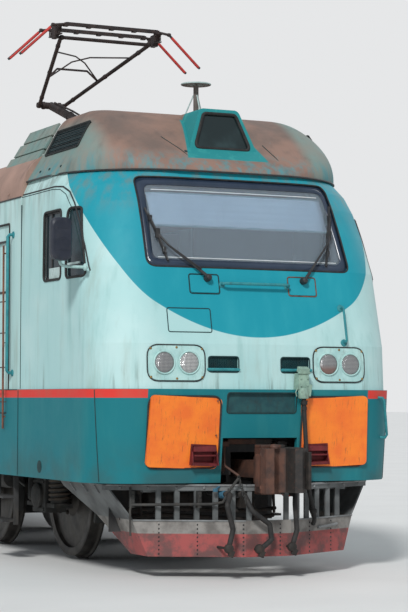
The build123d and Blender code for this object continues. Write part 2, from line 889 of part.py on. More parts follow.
# Automatic coupler: claw head on a shank
claw_outline = [
    # x, y ahead of the shank, seen from above
    (-150, 0),
    (-170, 120),
    (-215, 250),
    (-200, 330),
    (-120, 335),
    (-70, 190),
    (10, 170),
    (60, 210),
    (90, 340),
    (150, 365),
    (215, 320),
    (220, 150),
    (150, 0),
]
claw_height = 400
shank_size = (130, 160)
coupler_head_y = nose_y - 300 + 120
with BuildPart() as coupler_front:
    with BuildSketch(Plane.XY.offset(coupler_z - claw_height / 2)):
        with BuildLine():
            Polyline(*[(x, coupler_head_y - y) for x, y in claw_outline], close=True)
        make_face()
    extrude(amount=claw_height)
    shank_end_y = end_beam_y + pocket_length - pocket_wall
    with Locations((0, (coupler_head_y + shank_end_y) / 2, coupler_z)):
        Box(shank_size[0], shank_end_y - coupler_head_y, shank_size[1])
    with Locations((0, coupler_head_y + 30, coupler_z)):
        Box(260, 60, 240)
with BuildPart() as couplers:
    add(coupler_front.part)
    add(turned(coupler_front.part))
save(couplers, "couplers")

# Plough under the apron: bowed V blade, rail above it, upright bars between, side wings
plough_nose_y = nose_y - 170
plough_flat = 230
plough_slope = 0.535
blade_z = (200, 530)
blade_ends = (1020, 1150)
blade_thickness = 16
plough_rail_z = (800, 850)
plough_rail_end = 1370
plough_rail_depth = 60
wing_thickness = 18
wing_reach = 1570
wing_outline = [
    # back from the nose, z
    (700, blade_z[0] + 35),
    (640, blade_z[0]),
]
bar_xs = [-930, -780, -620, -470, -330, -190, 190, 330, 470, 620, 780, 930]
plough_bar = (46, 26)
crossbar_half = 1055


def plough_y(x):
    """Front of the plough's V at x, with a flat middle."""
    return plough_nose_y + plough_slope * max(0, abs(x) - plough_flat)


def plough_plan(z, end_x, depth):
    """Plan of the plough's V at one height, out to end_x."""
    front_points = [(x, plough_y(x)) for x in (-end_x, -plough_flat, plough_flat, end_x)]
    back_points = [(x, y + depth) for x, y in reversed(front_points)]
    with BuildSketch(Plane.XY.offset(z)) as plan:
        with BuildLine():
            Polyline(*front_points, *back_points, close=True)
        make_face()
    return plan.sketch


with BuildPart() as wing:
    bends = [(blade_ends[0], blade_z[0]), (blade_ends[1], blade_z[1]), (plough_rail_end, plough_rail_z[1])]
    with BuildSketch(Plane.XZ.offset(-plough_nose_y)):
        with BuildLine():
            Polyline(*bends, *[(x - wing_thickness, z) for x, z in reversed(bends)], close=True)
        make_face()
    extrude(amount=-(wing_reach + 300))
    with BuildSketch(side_plane(1, 0)):
        with BuildLine():
            Polyline(
                *[(plough_y(x), z) for x, z in bends],
                (nose_y + wing_reach, plough_rail_z[1]),
                (nose_y + wing_reach, plough_rail_z[0]),
                *[(nose_y + y, z) for y, z in wing_outline],
                close=True,
            )
        make_face()
    extrude(amount=2 * plough_rail_end, mode=Mode.INTERSECT)
with BuildPart() as plough_blade:
    loft([plough_plan(z, end_x, blade_thickness) for z, end_x in zip(blade_z, blade_ends)], ruled=True)
with BuildPart() as plough_front:
    add(plough_blade.part)
    add(plough_plan(plough_rail_z[0], plough_rail_end, plough_rail_depth))
    extrude(amount=plough_rail_z[1] - plough_rail_z[0])
    bar_places = [(x, plough_y(x) + 22, (blade_z[1] + plough_rail_z[0]) / 2) for x in bar_xs]
    with Locations(*bar_places):
        Box(*plough_bar, plough_rail_z[0] - blade_z[1] + 60)
    add(wing.part)
    add(wing.part.mirror(Plane.YZ))
    for side in (-1, 1):
        with Locations((side * 700, (plough_y(700) + end_beam_y + 30) / 2 + 20, plough_rail_z[0] + 25)):
            Box(60, end_beam_y - plough_y(700), 50)
        with Locations((side * 700, end_beam_y + 15, (plough_rail_z[0] + end_beam_low) / 2)):
            Box(160, 30, end_beam_low - plough_rail_z[0])
    with Locations((0, end_beam_y + 15, plough_rail_z[0] + 10)):
        Box(2 * crossbar_half, 60, 60)
with BuildPart() as ploughs:
    add(plough_front.part)
    add(turned(plough_front.part))
save(ploughs, "ploughs")

# Handrails: upright rails by the doors, handles and grab bars on the cab front
rail_radius = 16
rail_stand_off = 62
side_rail_z = (1890, 3280)
side_rail_ys = (door_front_y - 110, door_back_y + 110)
grip_z = 1905


def stood_off(low, high, foot, radius=rail_radius):
    """Bar between two points with a foot at each end, reaching back along foot."""
    feet = [tuple(p + f for p, f in zip(point, foot)) for point in (low, high)]
    return bars((low, high, radius), (low, feet[0], radius), (high, feet[1], radius))


rail_x = body_half_width + rail_stand_off
face_y = nose_y + 158
with BuildPart() as handrails:
    add(stood_off((1300, nose_y + 60, 1290), (1300, nose_y + 30, 1650), (-20, 105, 0), 13))
    add(stood_off((-335, face_y - 60, 2690), (315, face_y - 60, 2690), (0, 82, 0), 13))
    add(stood_off((905, nose_y - 40, 2225), (905, nose_y + 20, 2500), (0, 140, 0), 11))
    add(cab_outer, mode=Mode.SUBTRACT)
    add(apron_outer, mode=Mode.SUBTRACT)
    for side in (-1, 1):
        for rail_y in side_rail_ys:
            low = (side * rail_x, rail_y, side_rail_z[0])
            high = (side * rail_x, rail_y, side_rail_z[1])
            add(stood_off(low, high, (-side * rail_stand_off, 0, 0)))
        low_x, high_x = (side * x for x in handle_recess_x)
        add(rod((low_x, nose_y + 14, grip_z), (high_x, nose_y + 14, grip_z), 12))
    add(turned(handrails.part))
save(handrails, "handrails")

# Entry ladders under the doors, hung from the side sills
ladder_x = frame_half_width - 50
ladder_low = 360
tread_zs = (400, 640, 880)
with BuildPart() as entry_steps:
    for side in (-1, 1):
        for stile_y in (door_front_y + 60, door_back_y - 60):
            with Locations((side * ladder_x, stile_y, (ladder_low + frame_low - sill_depth) / 2)):
                Box(50, 14, frame_low - sill_depth - ladder_low)
        for tread_z in tread_zs:
            reach = 110 if tread_z < skirt_bottom - 40 else 0
            with Locations((side * (ladder_x + reach / 2), (door_front_y + door_back_y) / 2, tread_z)):
                Box(60 + reach, door_width - 120, 24)
    add(turned(entry_steps.part))
save(entry_steps, "entry_steps")

# Rear view mirror on a bent tube at the left side of each cab
mirror_size = (200, 90, 400)
mirror_place = (-1810, nose_y + 455, 3085)
mirror_tube_radius = 14
mirror_tube_bend = 60
mirror_tube_y = mirror_place[1] + mirror_size[1] / 2
mirror_tube_points = [
    (-body_half_width + 90, mirror_tube_y - 10, 2838),
    (mirror_place[0] + 10, mirror_tube_y, 2842),
    (mirror_place[0] + 10, mirror_tube_y, 3236),
]
with BuildPart() as mirrors:
    with BuildSketch(Plane.XY.offset(mirror_place[2] - mirror_size[2] / 2)):
        with Locations(mirror_place[:2]):
            RectangleRounded(mirror_size[0], mirror_size[1], 30)
    extrude(amount=mirror_size[2])
    with BuildLine() as tube_path:
        FilletPolyline(*mirror_tube_points, radius=mirror_tube_bend)
    tube_way = Vector(*mirror_tube_points[1]) - Vector(*mirror_tube_points[0])
    with BuildSketch(Plane(origin=mirror_tube_points[0], z_dir=tube_way)):
        Circle(mirror_tube_radius)
    sweep(path=tube_path.line)
    add(cab_outer, mode=Mode.SUBTRACT)
    add(turned(mirrors.part))
save(mirrors, "mirrors")

# Wipers: hatch covers under the windscreen, arms and blades parked up its sides
wiper_hatch = (300, 180)
wiper_hatch_x = 510
wiper_hatch_z = 2695
hatch_proud = 12


def on_screen(x, z, out):
    """Point in front of the windscreen's outer face."""
    return (x, nose_y + front_at(z) + bow_set_back(x) - out, z)


with BuildPart() as wipers:
    for side in (-1, 1):
        rise = wiper_hatch[1]
        set_back = front_at(wiper_hatch_z + rise / 2) - front_at(wiper_hatch_z - rise / 2)
        lean = math.degrees(math.atan2(set_back, rise))
        hatch_plane = face_plane(side * wiper_hatch_x, wiper_hatch_z, front_at(wiper_hatch_z), lean)
        with BuildSketch(hatch_plane.offset(-hatch_proud)):
            RectangleRounded(*wiper_hatch, 20)
        extrude(amount=2 * hatch_proud)
        hub = on_screen(side * 520, 2800, 60)
        joint = on_screen(side * 880, 3270, 48)
        add(rod((hub[0], hub[1] + 90, 2790), hub, 22))
        add(rod(hub, joint, 11))
        add(rod(on_screen(side * 925, 3560, 24), on_screen(side * 845, 2960, 24), 10))
        add(rod(joint, on_screen(side * 885, 3262, 24), 12))
    add(cab_outer, mode=Mode.SUBTRACT)
    add(turned(wipers.part))
save(wipers, "wipers")

# Brake hoses: out under the plough rail, down in a bow, and hooked to the blade by their heads
hose_radius = 24
hose_bend = 38
hose_z = plough_rail_z[0] - 30
hose_y = plough_nose_y - 100
hose_head_radius = 34
hose_paths = [
    # x at the cock, then x and z of the bow's points
    (-400, [(-470, 680), (-410, 460), (-455, 290)]),
    (-260, [(-215, 620), (-40, 500), (-20, 360), (-140, 270)]),
    (265, [(220, 680), (240, 440), (190, 290)]),
]
with BuildPart() as brake_hoses:
    for cock_x, bow in hose_paths:
        path_points = [
            (cock_x, end_beam_y - 15, hose_z),
            (cock_x, hose_y + 80, hose_z),
            *[(x, hose_y, z) for x, z in bow],
        ]
        with BuildLine() as path:
            FilletPolyline(*path_points, radius=hose_bend)
        with BuildSketch(Plane(origin=path_points[0], z_dir=(0, -1, 0))):
            Circle(hose_radius)
        sweep(path=path.line)
        end_x, end_z = bow[-1]
        add(rod((end_x, hose_y - 30, end_z), (end_x, hose_y + 30, end_z), hose_head_radius))
        add(rod((end_x, hose_y, end_z), (end_x, plough_y(end_x) + 4, end_z), 12))
    add(plough_front.part, mode=Mode.SUBTRACT)
    add(turned(brake_hoses.part))
save(brake_hoses, "brake_hoses")

# Jumper cable: from a socket box on the cab front down to its rest on the plough
socket_size = (140, 200)
socket_place = (400, 1780)
socket_out = 135
jumper_radius = 20
jumper_bend = 70
jumper_y = nose_y - 105
jumper_rest = (520, 480)
with BuildPart() as jumper_cables:
    with BuildSketch(Plane.XZ.offset(-nose_y + socket_out)):
        with Locations(socket_place):
            RectangleRounded(*socket_size, 24)
    extrude(amount=-(socket_out + 60))
    jumper_points = [
        (socket_place[0], jumper_y, socket_place[1] - socket_size[1] / 2 + 30),
        (socket_place[0] + 10, jumper_y, 1000),
        (jumper_rest[0], jumper_y, 620),
        (jumper_rest[0], plough_y(jumper_rest[0]) - 60, jumper_rest[1]),
    ]
    with BuildLine() as path:
        FilletPolyline(*jumper_points, radius=jumper_bend)
    jumper_way = Vector(*jumper_points[1]) - Vector(*jumper_points[0])
    with BuildSketch(Plane(origin=jumper_points[0], z_dir=jumper_way)):
        Circle(jumper_radius)
    sweep(path=path.line)
    rest_y = plough_y(jumper_rest[0])
    add(rod((jumper_rest[0], rest_y - 75, jumper_rest[1]), (jumper_rest[0], rest_y, jumper_rest[1]), 30))
    add(cab_outer, mode=Mode.SUBTRACT)
    add(apron_outer, mode=Mode.SUBTRACT)
    add(plough_front.part, mode=Mode.SUBTRACT)
    add(turned(jumper_cables.part))
save(jumper_cables, "jumper_cables")

# Wheelsets: axle, two flanged wheels and journals in one body
wheel_inner_x = flange_back_to_back / 2
wheel_profile = [
    # x from the wheel's inner face, radius
    (0, flange_radius - 12),
    (6, flange_radius),
    (flange_width - 8, flange_radius),
    (flange_width, tread_radius + 6),
    (flange_width + 12, tread_radius + 1),
    (tyre_width, tread_radius - 5),
    (tyre_width, tread_radius - tyre_thickness),
    (tyre_width / 2 + web_thickness, tread_radius - tyre_thickness - 20),
    (tyre_width / 2 + web_thickness + 20, hub_radius + 60),
    (hub_width, hub_radius),
    (hub_width, axle_radius - 5),
    (0, axle_radius - 5),
]


def wheelset():
    with BuildPart() as wheels:
        with BuildSketch(Plane.XZ):
            for side in (-1, 1):
                with BuildLine():
                    Polyline(*[(side * (wheel_inner_x + x), r) for x, r in wheel_profile], close=True)
                make_face()
            with BuildLine():
                Polyline(
                    (-journal_end, 0),
                    (-journal_end, journal_radius),
                    (-wheel_inner_x - hub_width - 40, journal_radius),
                    (-wheel_inner_x - hub_width - 40, axle_radius),
                    (wheel_inner_x + hub_width + 40, axle_radius),
                    (wheel_inner_x + hub_width + 40, journal_radius),
                    (journal_end, journal_radius),
                    (journal_end, 0),
                    close=True,
                )
            make_face()
        revolve(axis=Axis.X)
    return wheels.part


plain_wheelset = wheelset()
axle_places = [pivot * bogie_pivot_y + step * axle_spacing for pivot in (-1, 1) for step in (-1, 0, 1)]
for number, axle_y in enumerate(axle_places, start=1):
    with BuildPart() as wheels:
        add(plain_wheelset.moved(Location((0, axle_y, axle_z))))
    save(wheels, f"wheelset_{number}")

# Bogies: outside frame, axleboxes on the journals, springs, motors
beam_x = 1075
beam_width = 150
beam_low_z = 905
beam_high_z = 1090
bogie_half_length = 3120
box_size = (230, 360, 340)
box_x = 1085
spring_radius = 95
spring_reach = 290
wing_z = 560
cross_beam_ys = [-axle_spacing * 1.5 + 330, -1150, 1150, axle_spacing * 1.5 - 330]
motor_radius = 400
motor_half_length = 560
motor_offset = 640
motor_places = [(-axle_spacing, 1), (0, 1), (axle_spacing, -1)]


def bogie_frame():
    with BuildPart() as frame:
        for side in (-1, 1):
            with BuildSketch(side_plane(side, beam_x - beam_width / 2)):
                with BuildLine():
                    Polyline(
                        (-bogie_half_length, beam_low_z + 60),
                        (-bogie_half_length + 240, beam_low_z),
                        (bogie_half_length - 240, beam_low_z),
                        (bogie_half_length, beam_low_z + 60),
                        (bogie_half_length, beam_high_z),
                        (-bogie_half_length, beam_high_z),
                        close=True,
                    )
                make_face()
            extrude(amount=side * beam_width)
            pad_z = (beam_high_z + bogie_pad_top) / 2
            with Locations((side * beam_x, -pad_reach, pad_z), (side * beam_x, pad_reach, pad_z)):
                Box(200, 240, bogie_pad_top - beam_high_z)
        with Locations(*[(0, y, 1020) for y in cross_beam_ys]):
            Box(2 * beam_x, 120, 140)
    return frame.part


def bogie_axleboxes():
    with BuildPart() as boxes:
        for side in (-1, 1):
            for step in (-1, 0, 1):
                y = step * axle_spacing
                with Locations((side * box_x, y, axle_z)):
                    Box(*box_size)
                with Locations((side * box_x, y, wing_z)):
                    Box(200, 2 * spring_reach + 2 * spring_radius + 20, 40)
                with Locations(Location((side * (box_x + box_size[0] / 2 + 15), y, axle_z), (0, 90, 0))):
                    Cylinder(125, 30)
                inner_x = box_x - box_size[0] / 2
                bore_length = journal_end + 12 - inner_x
                with Locations(Location((side * (inner_x + bore_length / 2 - 1), y, axle_z), (0, 90, 0))):
                    Cylinder(journal_radius + journal_clearance, bore_length + 2, mode=Mode.SUBTRACT)
                spring_z = (wing_z + beam_low_z) / 2
                reaches = (-spring_reach, spring_reach)
                spring_places = [(side * box_x, y + reach, spring_z) for reach in reaches]
                with Locations(*spring_places):
                    Cylinder(spring_radius, beam_low_z - wing_z)
    return boxes.part


def bogie_motors():
    with BuildPart() as motors:
        for axle_y, way in motor_places:
            with Locations(Location((0, axle_y + way * motor_offset, 700), (0, 90, 0))):
                Cylinder(motor_radius, 2 * motor_half_length)
            with Locations((0, axle_y + way * motor_offset, 1000)):
                Box(700, 300, 160)
    return motors.part


shoe_gap = 9
shoe_thickness = 50
shoe_width = 80
shoe_x = wheel_inner_x + flange_width + 12 + shoe_width / 2
shoe_half_angle = 22
hanger_top = 1000


def shoe_point(step, way, radius, angle):
    """Point at an angle above a wheel's centre, ahead of it or behind it, on the side plane."""
    return (step * axle_spacing + way * radius * math.cos(angle), axle_z + radius * math.sin(angle))


def brake_gear():
    """Cast shoes on both sides of each wheel, on hangers from the side beams."""
    inner = tread_radius + shoe_gap
    outer = inner + shoe_thickness
    turn = math.radians(shoe_half_angle)
    arm_length = beam_x - beam_width / 2 - shoe_x
    shoes = [(step, way) for step in (-1, 0, 1) for way in (-1, 1)]
    hanger_ys = [step * axle_spacing + way * (outer - 10) for step, way in shoes]
    with BuildPart() as gear:
        for side in (-1, 1):
            with BuildSketch(side_plane(side, shoe_x - shoe_width / 2)):
                for step, way in shoes:
                    inside = [shoe_point(step, way, inner, angle) for angle in (-turn, 0, turn)]
                    outside = [shoe_point(step, way, outer, angle) for angle in (turn, 0, -turn)]
                    with BuildLine():
                        ThreePointArc(*inside)
                        Line(inside[2], outside[0])
                        ThreePointArc(*outside)
                        Line(outside[2], inside[0])
                    make_face()
            extrude(amount=side * shoe_width)
            with Locations(*[(side * shoe_x, y, (axle_z + hanger_top) / 2) for y in hanger_ys]):
                Box(50, 36, hanger_top - axle_z + 60)
            with Locations(*[(side * (shoe_x + arm_length / 2), y, hanger_top - 25) for y in hanger_ys]):
                Box(arm_length, 36, 50)
    return gear.part


bogie_pieces = [
    ("bogie_frame", bogie_frame()),
    ("axleboxes", bogie_axleboxes()),
    ("traction_motors", bogie_motors()),
    ("brake_gear", brake_gear()),
]
for end_name, end in (("front", -1), ("rear", 1)):
    for piece_name, shape in bogie_pieces:
        at_front = shape.moved(Location((0, -bogie_pivot_y, 0)))
        with BuildPart() as bogie_piece:
            add(at_front if end < 0 else turned(at_front))
        save(bogie_piece, f"{piece_name}_{end_name}")

# Boxes and air tanks under the floor between the bogies
with BuildPart() as underfloor_boxes:
    for side in (-1, 1):
        with Locations((side * 1150, 0, 940)):
            Box(460, 1300, 400)
        with Locations((side * 1150, 0, (1140 + frame_low) / 2)):
            Box(60, 1200, frame_low - 1140)
    with Locations(Location((0, 0, 1000), (90, 0, 0))):
        Cylinder(220, 1300)
    with Locations((0, -400, (1150 + frame_low) / 2), (0, 400, (1150 + frame_low) / 2)):
        Box(100, 60, frame_low - 1150)
save(underfloor_boxes, "underfloor_boxes")

# Pantographs: base frame on insulators, lower arm, upper arm, collector head
pan_base_y = nose_y + 4150
pan_pivot_z = 4650
lower_length = 1423
upper_length = 1747
lower_angle = 18.4
upper_angle = 16.6
stowed_lower = -1.5
stowed_upper = 2.0
upper_knee_half = 150
upper_head_half = 530
head_half = 560
head_rail_x = 592
strip_reach = 185
strip_rise = 115
strip_width = 62
horn_tip_x = 1070
insulator_radius = 75
pivot_half = 200
pivot_post = 50
base_drop = 150
base_bar = 60
insulator_places = (-350, 950)


def up_arm(start, length, angle, way):
    """Far end of an arm that leaves start, way +1 to the rear and -1 to the front."""
    turn = math.radians(angle)
    return (start[0] + way * length * math.cos(turn), start[1] + length * math.sin(turn))


def lower_arm(pivot, knee):
    return bars(
        ((-pivot_half, pivot[0], pivot[1]), (pivot_half, pivot[0], pivot[1]), 34),
        ((0, pivot[0], pivot[1]), (0, knee[0], knee[1]), 48),
        ((-120, knee[0], knee[1]), (120, knee[0], knee[1]), 40),
    )


def upper_arm(knee, head):
    return bars(
        ((-upper_knee_half - 30, knee[0], knee[1]), (-126, knee[0], knee[1]), 30),
        ((126, knee[0], knee[1]), (upper_knee_half + 30, knee[0], knee[1]), 30),
        ((-upper_knee_half, knee[0], knee[1]), (-upper_head_half, head[0], head[1]), 22),
        ((upper_knee_half, knee[0], knee[1]), (upper_head_half, head[0], head[1]), 22),
        ((-upper_head_half, head[0], head[1]), (upper_head_half, head[0], head[1]), 20),
    )


def collector_head(head):
    with BuildPart() as collector:
        for dy in (-strip_reach, strip_reach):
            strip_y = head[0] + dy
            with Locations((0, strip_y, head[1] + strip_rise)):
                Box(2 * head_half, strip_width, 28)
            for side in (-1, 1):
                horn_root = (side * 690, strip_y, head[1] + strip_rise - 20)
                add(rod((side * (head_half - 20), strip_y, head[1] + strip_rise), horn_root, 14))
                add(rod(horn_root, (side * horn_tip_x, strip_y, head[1] - 255), 14))
        for side in (-1, 1):
            rail_x = side * head_rail_x
            rail_z = head[1] + strip_rise - 18
            add(rod((rail_x, head[0] - strip_reach, rail_z), (rail_x, head[0] + strip_reach, rail_z), 14))
            with Locations((rail_x, head[0], head[1] + strip_rise / 2 - 10)):
                Box(46, 110, strip_rise + 16)
            add(rod((rail_x - 26, head[0], head[1]), (rail_x + 26, head[0], head[1]), 18))
    return collector.part


def pantograph_base(pivot_y):
    frame_z = pan_pivot_z - base_drop
    with BuildPart() as base:
        for side in (-1, 1):
            with Locations((side * 420, pivot_y + 300, frame_z)):
                Box(base_bar, 1500, base_bar)
            with Locations((side * (pivot_half + pivot_post / 2 + 6), pivot_y, frame_z + base_drop / 2)):
                Box(pivot_post, 110, base_drop + 60)
            for dy in insulator_places:
                foot_z = roof_crown_z - 60
                with Locations((side * 420, pivot_y + dy, (foot_z + frame_z) / 2)):
                    Cylinder(insulator_radius, frame_z - foot_z)
        with Locations(*[(0, pivot_y + dy, frame_z) for dy in (*insulator_places, 0)]):
            Box(840, base_bar, base_bar)
    return base.part


front_pivot = (pan_base_y, pan_pivot_z)
front_knee = up_arm(front_pivot, lower_length, lower_angle, 1)
front_head = up_arm(front_knee, upper_length, upper_angle, -1)
rear_knee = up_arm(front_pivot, lower_length, stowed_lower, 1)
rear_head = up_arm(rear_knee, upper_length, stowed_upper, -1)
with BuildPart() as pantograph_bases:
    add(pantograph_base(pan_base_y))
    add(turned(pantograph_base(pan_base_y)))
    add(roof_outer, mode=Mode.SUBTRACT)
save(pantograph_bases, "pantograph_bases")
pantograph_pieces = [
    ("pantograph_lower_front", lower_arm(front_pivot, front_knee)),
    ("pantograph_upper_front", upper_arm(front_knee, front_head)),
    ("pantograph_head_front", collector_head(front_head)),
    ("pantograph_lower_rear", turned(lower_arm(front_pivot, rear_knee))),
    ("pantograph_upper_rear", turned(upper_arm(rear_knee, rear_head))),
    ("pantograph_head_rear", turned(collector_head(rear_head))),
]
for piece_name, shape in pantograph_pieces:
    with BuildPart() as pantograph_piece:
        add(shape)
    save(pantograph_piece, piece_name)

# Roof equipment: bus bar on insulators, breaker, disc aerials on masts and horns
bus_x = 690
bus_z = 4560
bus_places = [-2900, -1700, -500, 700, 1900, 3100]
mast_place = (0, nose_y + 1440)
disc_z = 4770
disc_radius = 145
with BuildPart() as roof_equipment:
    for post_y in bus_places:
        foot_z = roof_crown_z - 110
        with Locations((bus_x, post_y, (foot_z + bus_z) / 2)):
            Cylinder(60, bus_z - foot_z)
    add(rod((bus_x, bus_places[0] - 150, bus_z), (bus_x, bus_places[-1] + 150, bus_z), 22))
    with Locations((-620, 1450, roof_crown_z + 60)):
        Box(360, 700, 300)
    for post_y in (1250, 1650):
        with Locations((-620, post_y, roof_crown_z + 330)):
            Cylinder(70, 300)
    add(rod((-620, 1250, roof_crown_z + 460), (-620, 1650, roof_crown_z + 460), 26))
with BuildPart() as roof_aerials:
    with Locations((*mast_place, (hood_top_z - 60 + disc_z) / 2)):
        Cylinder(26, disc_z - hood_top_z + 60)
    with Locations((*mast_place, disc_z)):
        Cylinder(disc_radius, 16)
    with Locations((*mast_place, hood_top_z - 25)):
        Cylinder(110, 40)
    add(hood_front.part, mode=Mode.SUBTRACT)
    for horn_x in (-420, 420):
        with Locations((horn_x, hood_back_y + 260, roof_crown_z - 10)):
            Box(70, 160, 140)
        with Locations(Location((horn_x, hood_back_y + 200, roof_crown_z + 90), (90, 0, 0))):
            Cone(28, 75, 300)
    add(turned(roof_aerials.part))
with BuildPart() as roof_gear:
    add(roof_equipment.part)
    add(roof_aerials.part)
    add(roof_outer, mode=Mode.SUBTRACT)
save(roof_gear, "roof_equipment")

print("pantograph pivot", front_pivot)
print("front knee and head", front_knee, front_head)
print("rear knee and head before turning", rear_knee, rear_head)
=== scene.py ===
import bpy
import bmesh
import math
from mathutils import Matrix, Vector


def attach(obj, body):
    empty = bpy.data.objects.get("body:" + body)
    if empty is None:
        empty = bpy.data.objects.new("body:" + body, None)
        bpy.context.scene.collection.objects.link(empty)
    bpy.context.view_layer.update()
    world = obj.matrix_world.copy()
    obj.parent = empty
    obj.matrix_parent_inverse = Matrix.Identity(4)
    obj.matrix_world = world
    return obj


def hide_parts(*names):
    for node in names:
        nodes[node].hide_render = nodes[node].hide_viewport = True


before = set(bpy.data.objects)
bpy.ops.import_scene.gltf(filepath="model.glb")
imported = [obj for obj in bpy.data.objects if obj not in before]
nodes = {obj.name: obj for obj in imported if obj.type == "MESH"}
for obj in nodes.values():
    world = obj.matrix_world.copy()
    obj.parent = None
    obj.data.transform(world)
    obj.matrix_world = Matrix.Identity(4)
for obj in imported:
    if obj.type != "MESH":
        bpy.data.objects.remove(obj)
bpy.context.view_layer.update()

# Everything is in metres: length along Y with the front cab at -Y, Z up from the flange tips.
loco = {
    "noseY": -8.9,
    "ledgeZ": 1.725,
    "axleZ": 0.655,
    "axles": [-6.3, -4.0, -1.7, 1.7, 4.0, 6.3],
    "pivots": {"front": -4.0, "rear": 4.0},
}
halfTurn = Matrix.Rotation(math.pi, 4, "Z")


class Finish:
    # one material with its shader nodes
    def __init__(self, name):
        self.material = bpy.data.materials.new(name)
        self.material.use_nodes = True
        self.nodes = self.material.node_tree.nodes
        self.links = self.material.node_tree.links
        self.shader = self.nodes["Principled BSDF"]
        self.place = self.add("ShaderNodeTexCoord").outputs["Object"]
        self.x, self.y, self.z = self.add("ShaderNodeSeparateXYZ", {0: self.place}).outputs

    def add(self, kind, inputs=None, **settings):
        made = self.nodes.new(kind)
        for key, value in settings.items():
            setattr(made, key, value)
        for slot, value in (inputs or {}).items():
            if isinstance(value, bpy.types.NodeSocket):
                self.links.new(value, made.inputs[slot])
            else:
                made.inputs[slot].default_value = value
        return made

    def calc(self, operation, a, b=0.0):
        return self.add("ShaderNodeMath", {0: a, 1: b}, operation=operation).outputs[0]

    def rise(self, value, low, high):
        made = self.add("ShaderNodeMapRange", {0: value, 1: low, 2: high}, interpolation_type="SMOOTHSTEP")
        return made.outputs[0]

    def between(self, value, low, high, soft=0.003):
        return self.times(self.rise(value, low - soft, low + soft), self.rise(value, high + soft, high - soft))

    def noise(self, scale, detail=4.0, rough=0.55, stretch=(1, 1, 1)):
        where = self.add("ShaderNodeMapping", {"Vector": self.place, "Scale": stretch}).outputs[0]
        grain = {"Vector": where, "Scale": scale, "Detail": detail, "Roughness": rough}
        return self.add("ShaderNodeTexNoise", grain).outputs[0]

    def blend(self, factor, a, b):
        made = self.add("ShaderNodeMix", {0: factor}, data_type="RGBA")
        for slot, value in ((6, a), (7, b)):
            if isinstance(value, bpy.types.NodeSocket):
                self.links.new(value, made.inputs[slot])
            else:
                made.inputs[slot].default_value = (*value, 1)
        return made.outputs[2]

    def times(self, factor, amount):
        return self.calc("MULTIPLY", factor, amount)

    def patches(self, low, high, *noise):
        # soft-edged patches, where the noise lies between two levels
        return self.rise(self.noise(*noise), low, high)

    def mottled(self, first, second, low, high, *noise):
        return self.blend(self.patches(low, high, *noise), first, second)

    def over(self, colour, mask, amount, tint):
        return self.blend(self.times(mask, amount), colour, tint)

    def roughness(self, low, high, *noise):
        uneven = self.add("ShaderNodeMapRange", {0: self.noise(*noise), 3: low, 4: high})
        return self.set(Roughness=uneven.outputs[0])

    def set(self, **values):
        for key, value in values.items():
            socket = self.shader.inputs[key.replace("_", " ")]
            if isinstance(value, bpy.types.NodeSocket):
                self.links.new(value, socket)
            elif isinstance(value, tuple):
                socket.default_value = (*value, 1)
            else:
                socket.default_value = value
        return self

    def bump(self, height, strength, distance=0.004):
        made = self.add("ShaderNodeBump", {"Strength": strength, "Distance": distance, "Height": height})
        self.links.new(made.outputs[0], self.shader.inputs["Normal"])
        return self

    def relief(self, fine, amount, coarse, strength, distance=0.004):
        # bump from a share of fine noise on coarse noise
        height = self.calc("ADD", self.times(self.noise(*fine), amount), self.noise(*coarse))
        return self.bump(height, strength, distance)


livery = {
    "aqua": (0.40, 0.63, 0.62),
    "aquaPale": (0.57, 0.74, 0.72),
    "turquoise": (0.008, 0.28, 0.355),
    "turquoiseFaded": (0.04, 0.37, 0.43),
    "band": (0.006, 0.17, 0.20),
    "bandWorn": (0.03, 0.22, 0.23),
    "stripe": (0.70, 0.045, 0.035),
    "stripeFaded": (0.56, 0.09, 0.06),
    "grime": (0.055, 0.06, 0.05),
    "rust": (0.20, 0.10, 0.06),
    "smileLow": 2.205,
    "smileCurve": 0.271,
    "smileRise": 1.517,
    "stripeZ": (1.643, 1.722),
    "lean": [(2.14, 0.218), (2.85, 0.2106), (3.2, 0.035)],
}


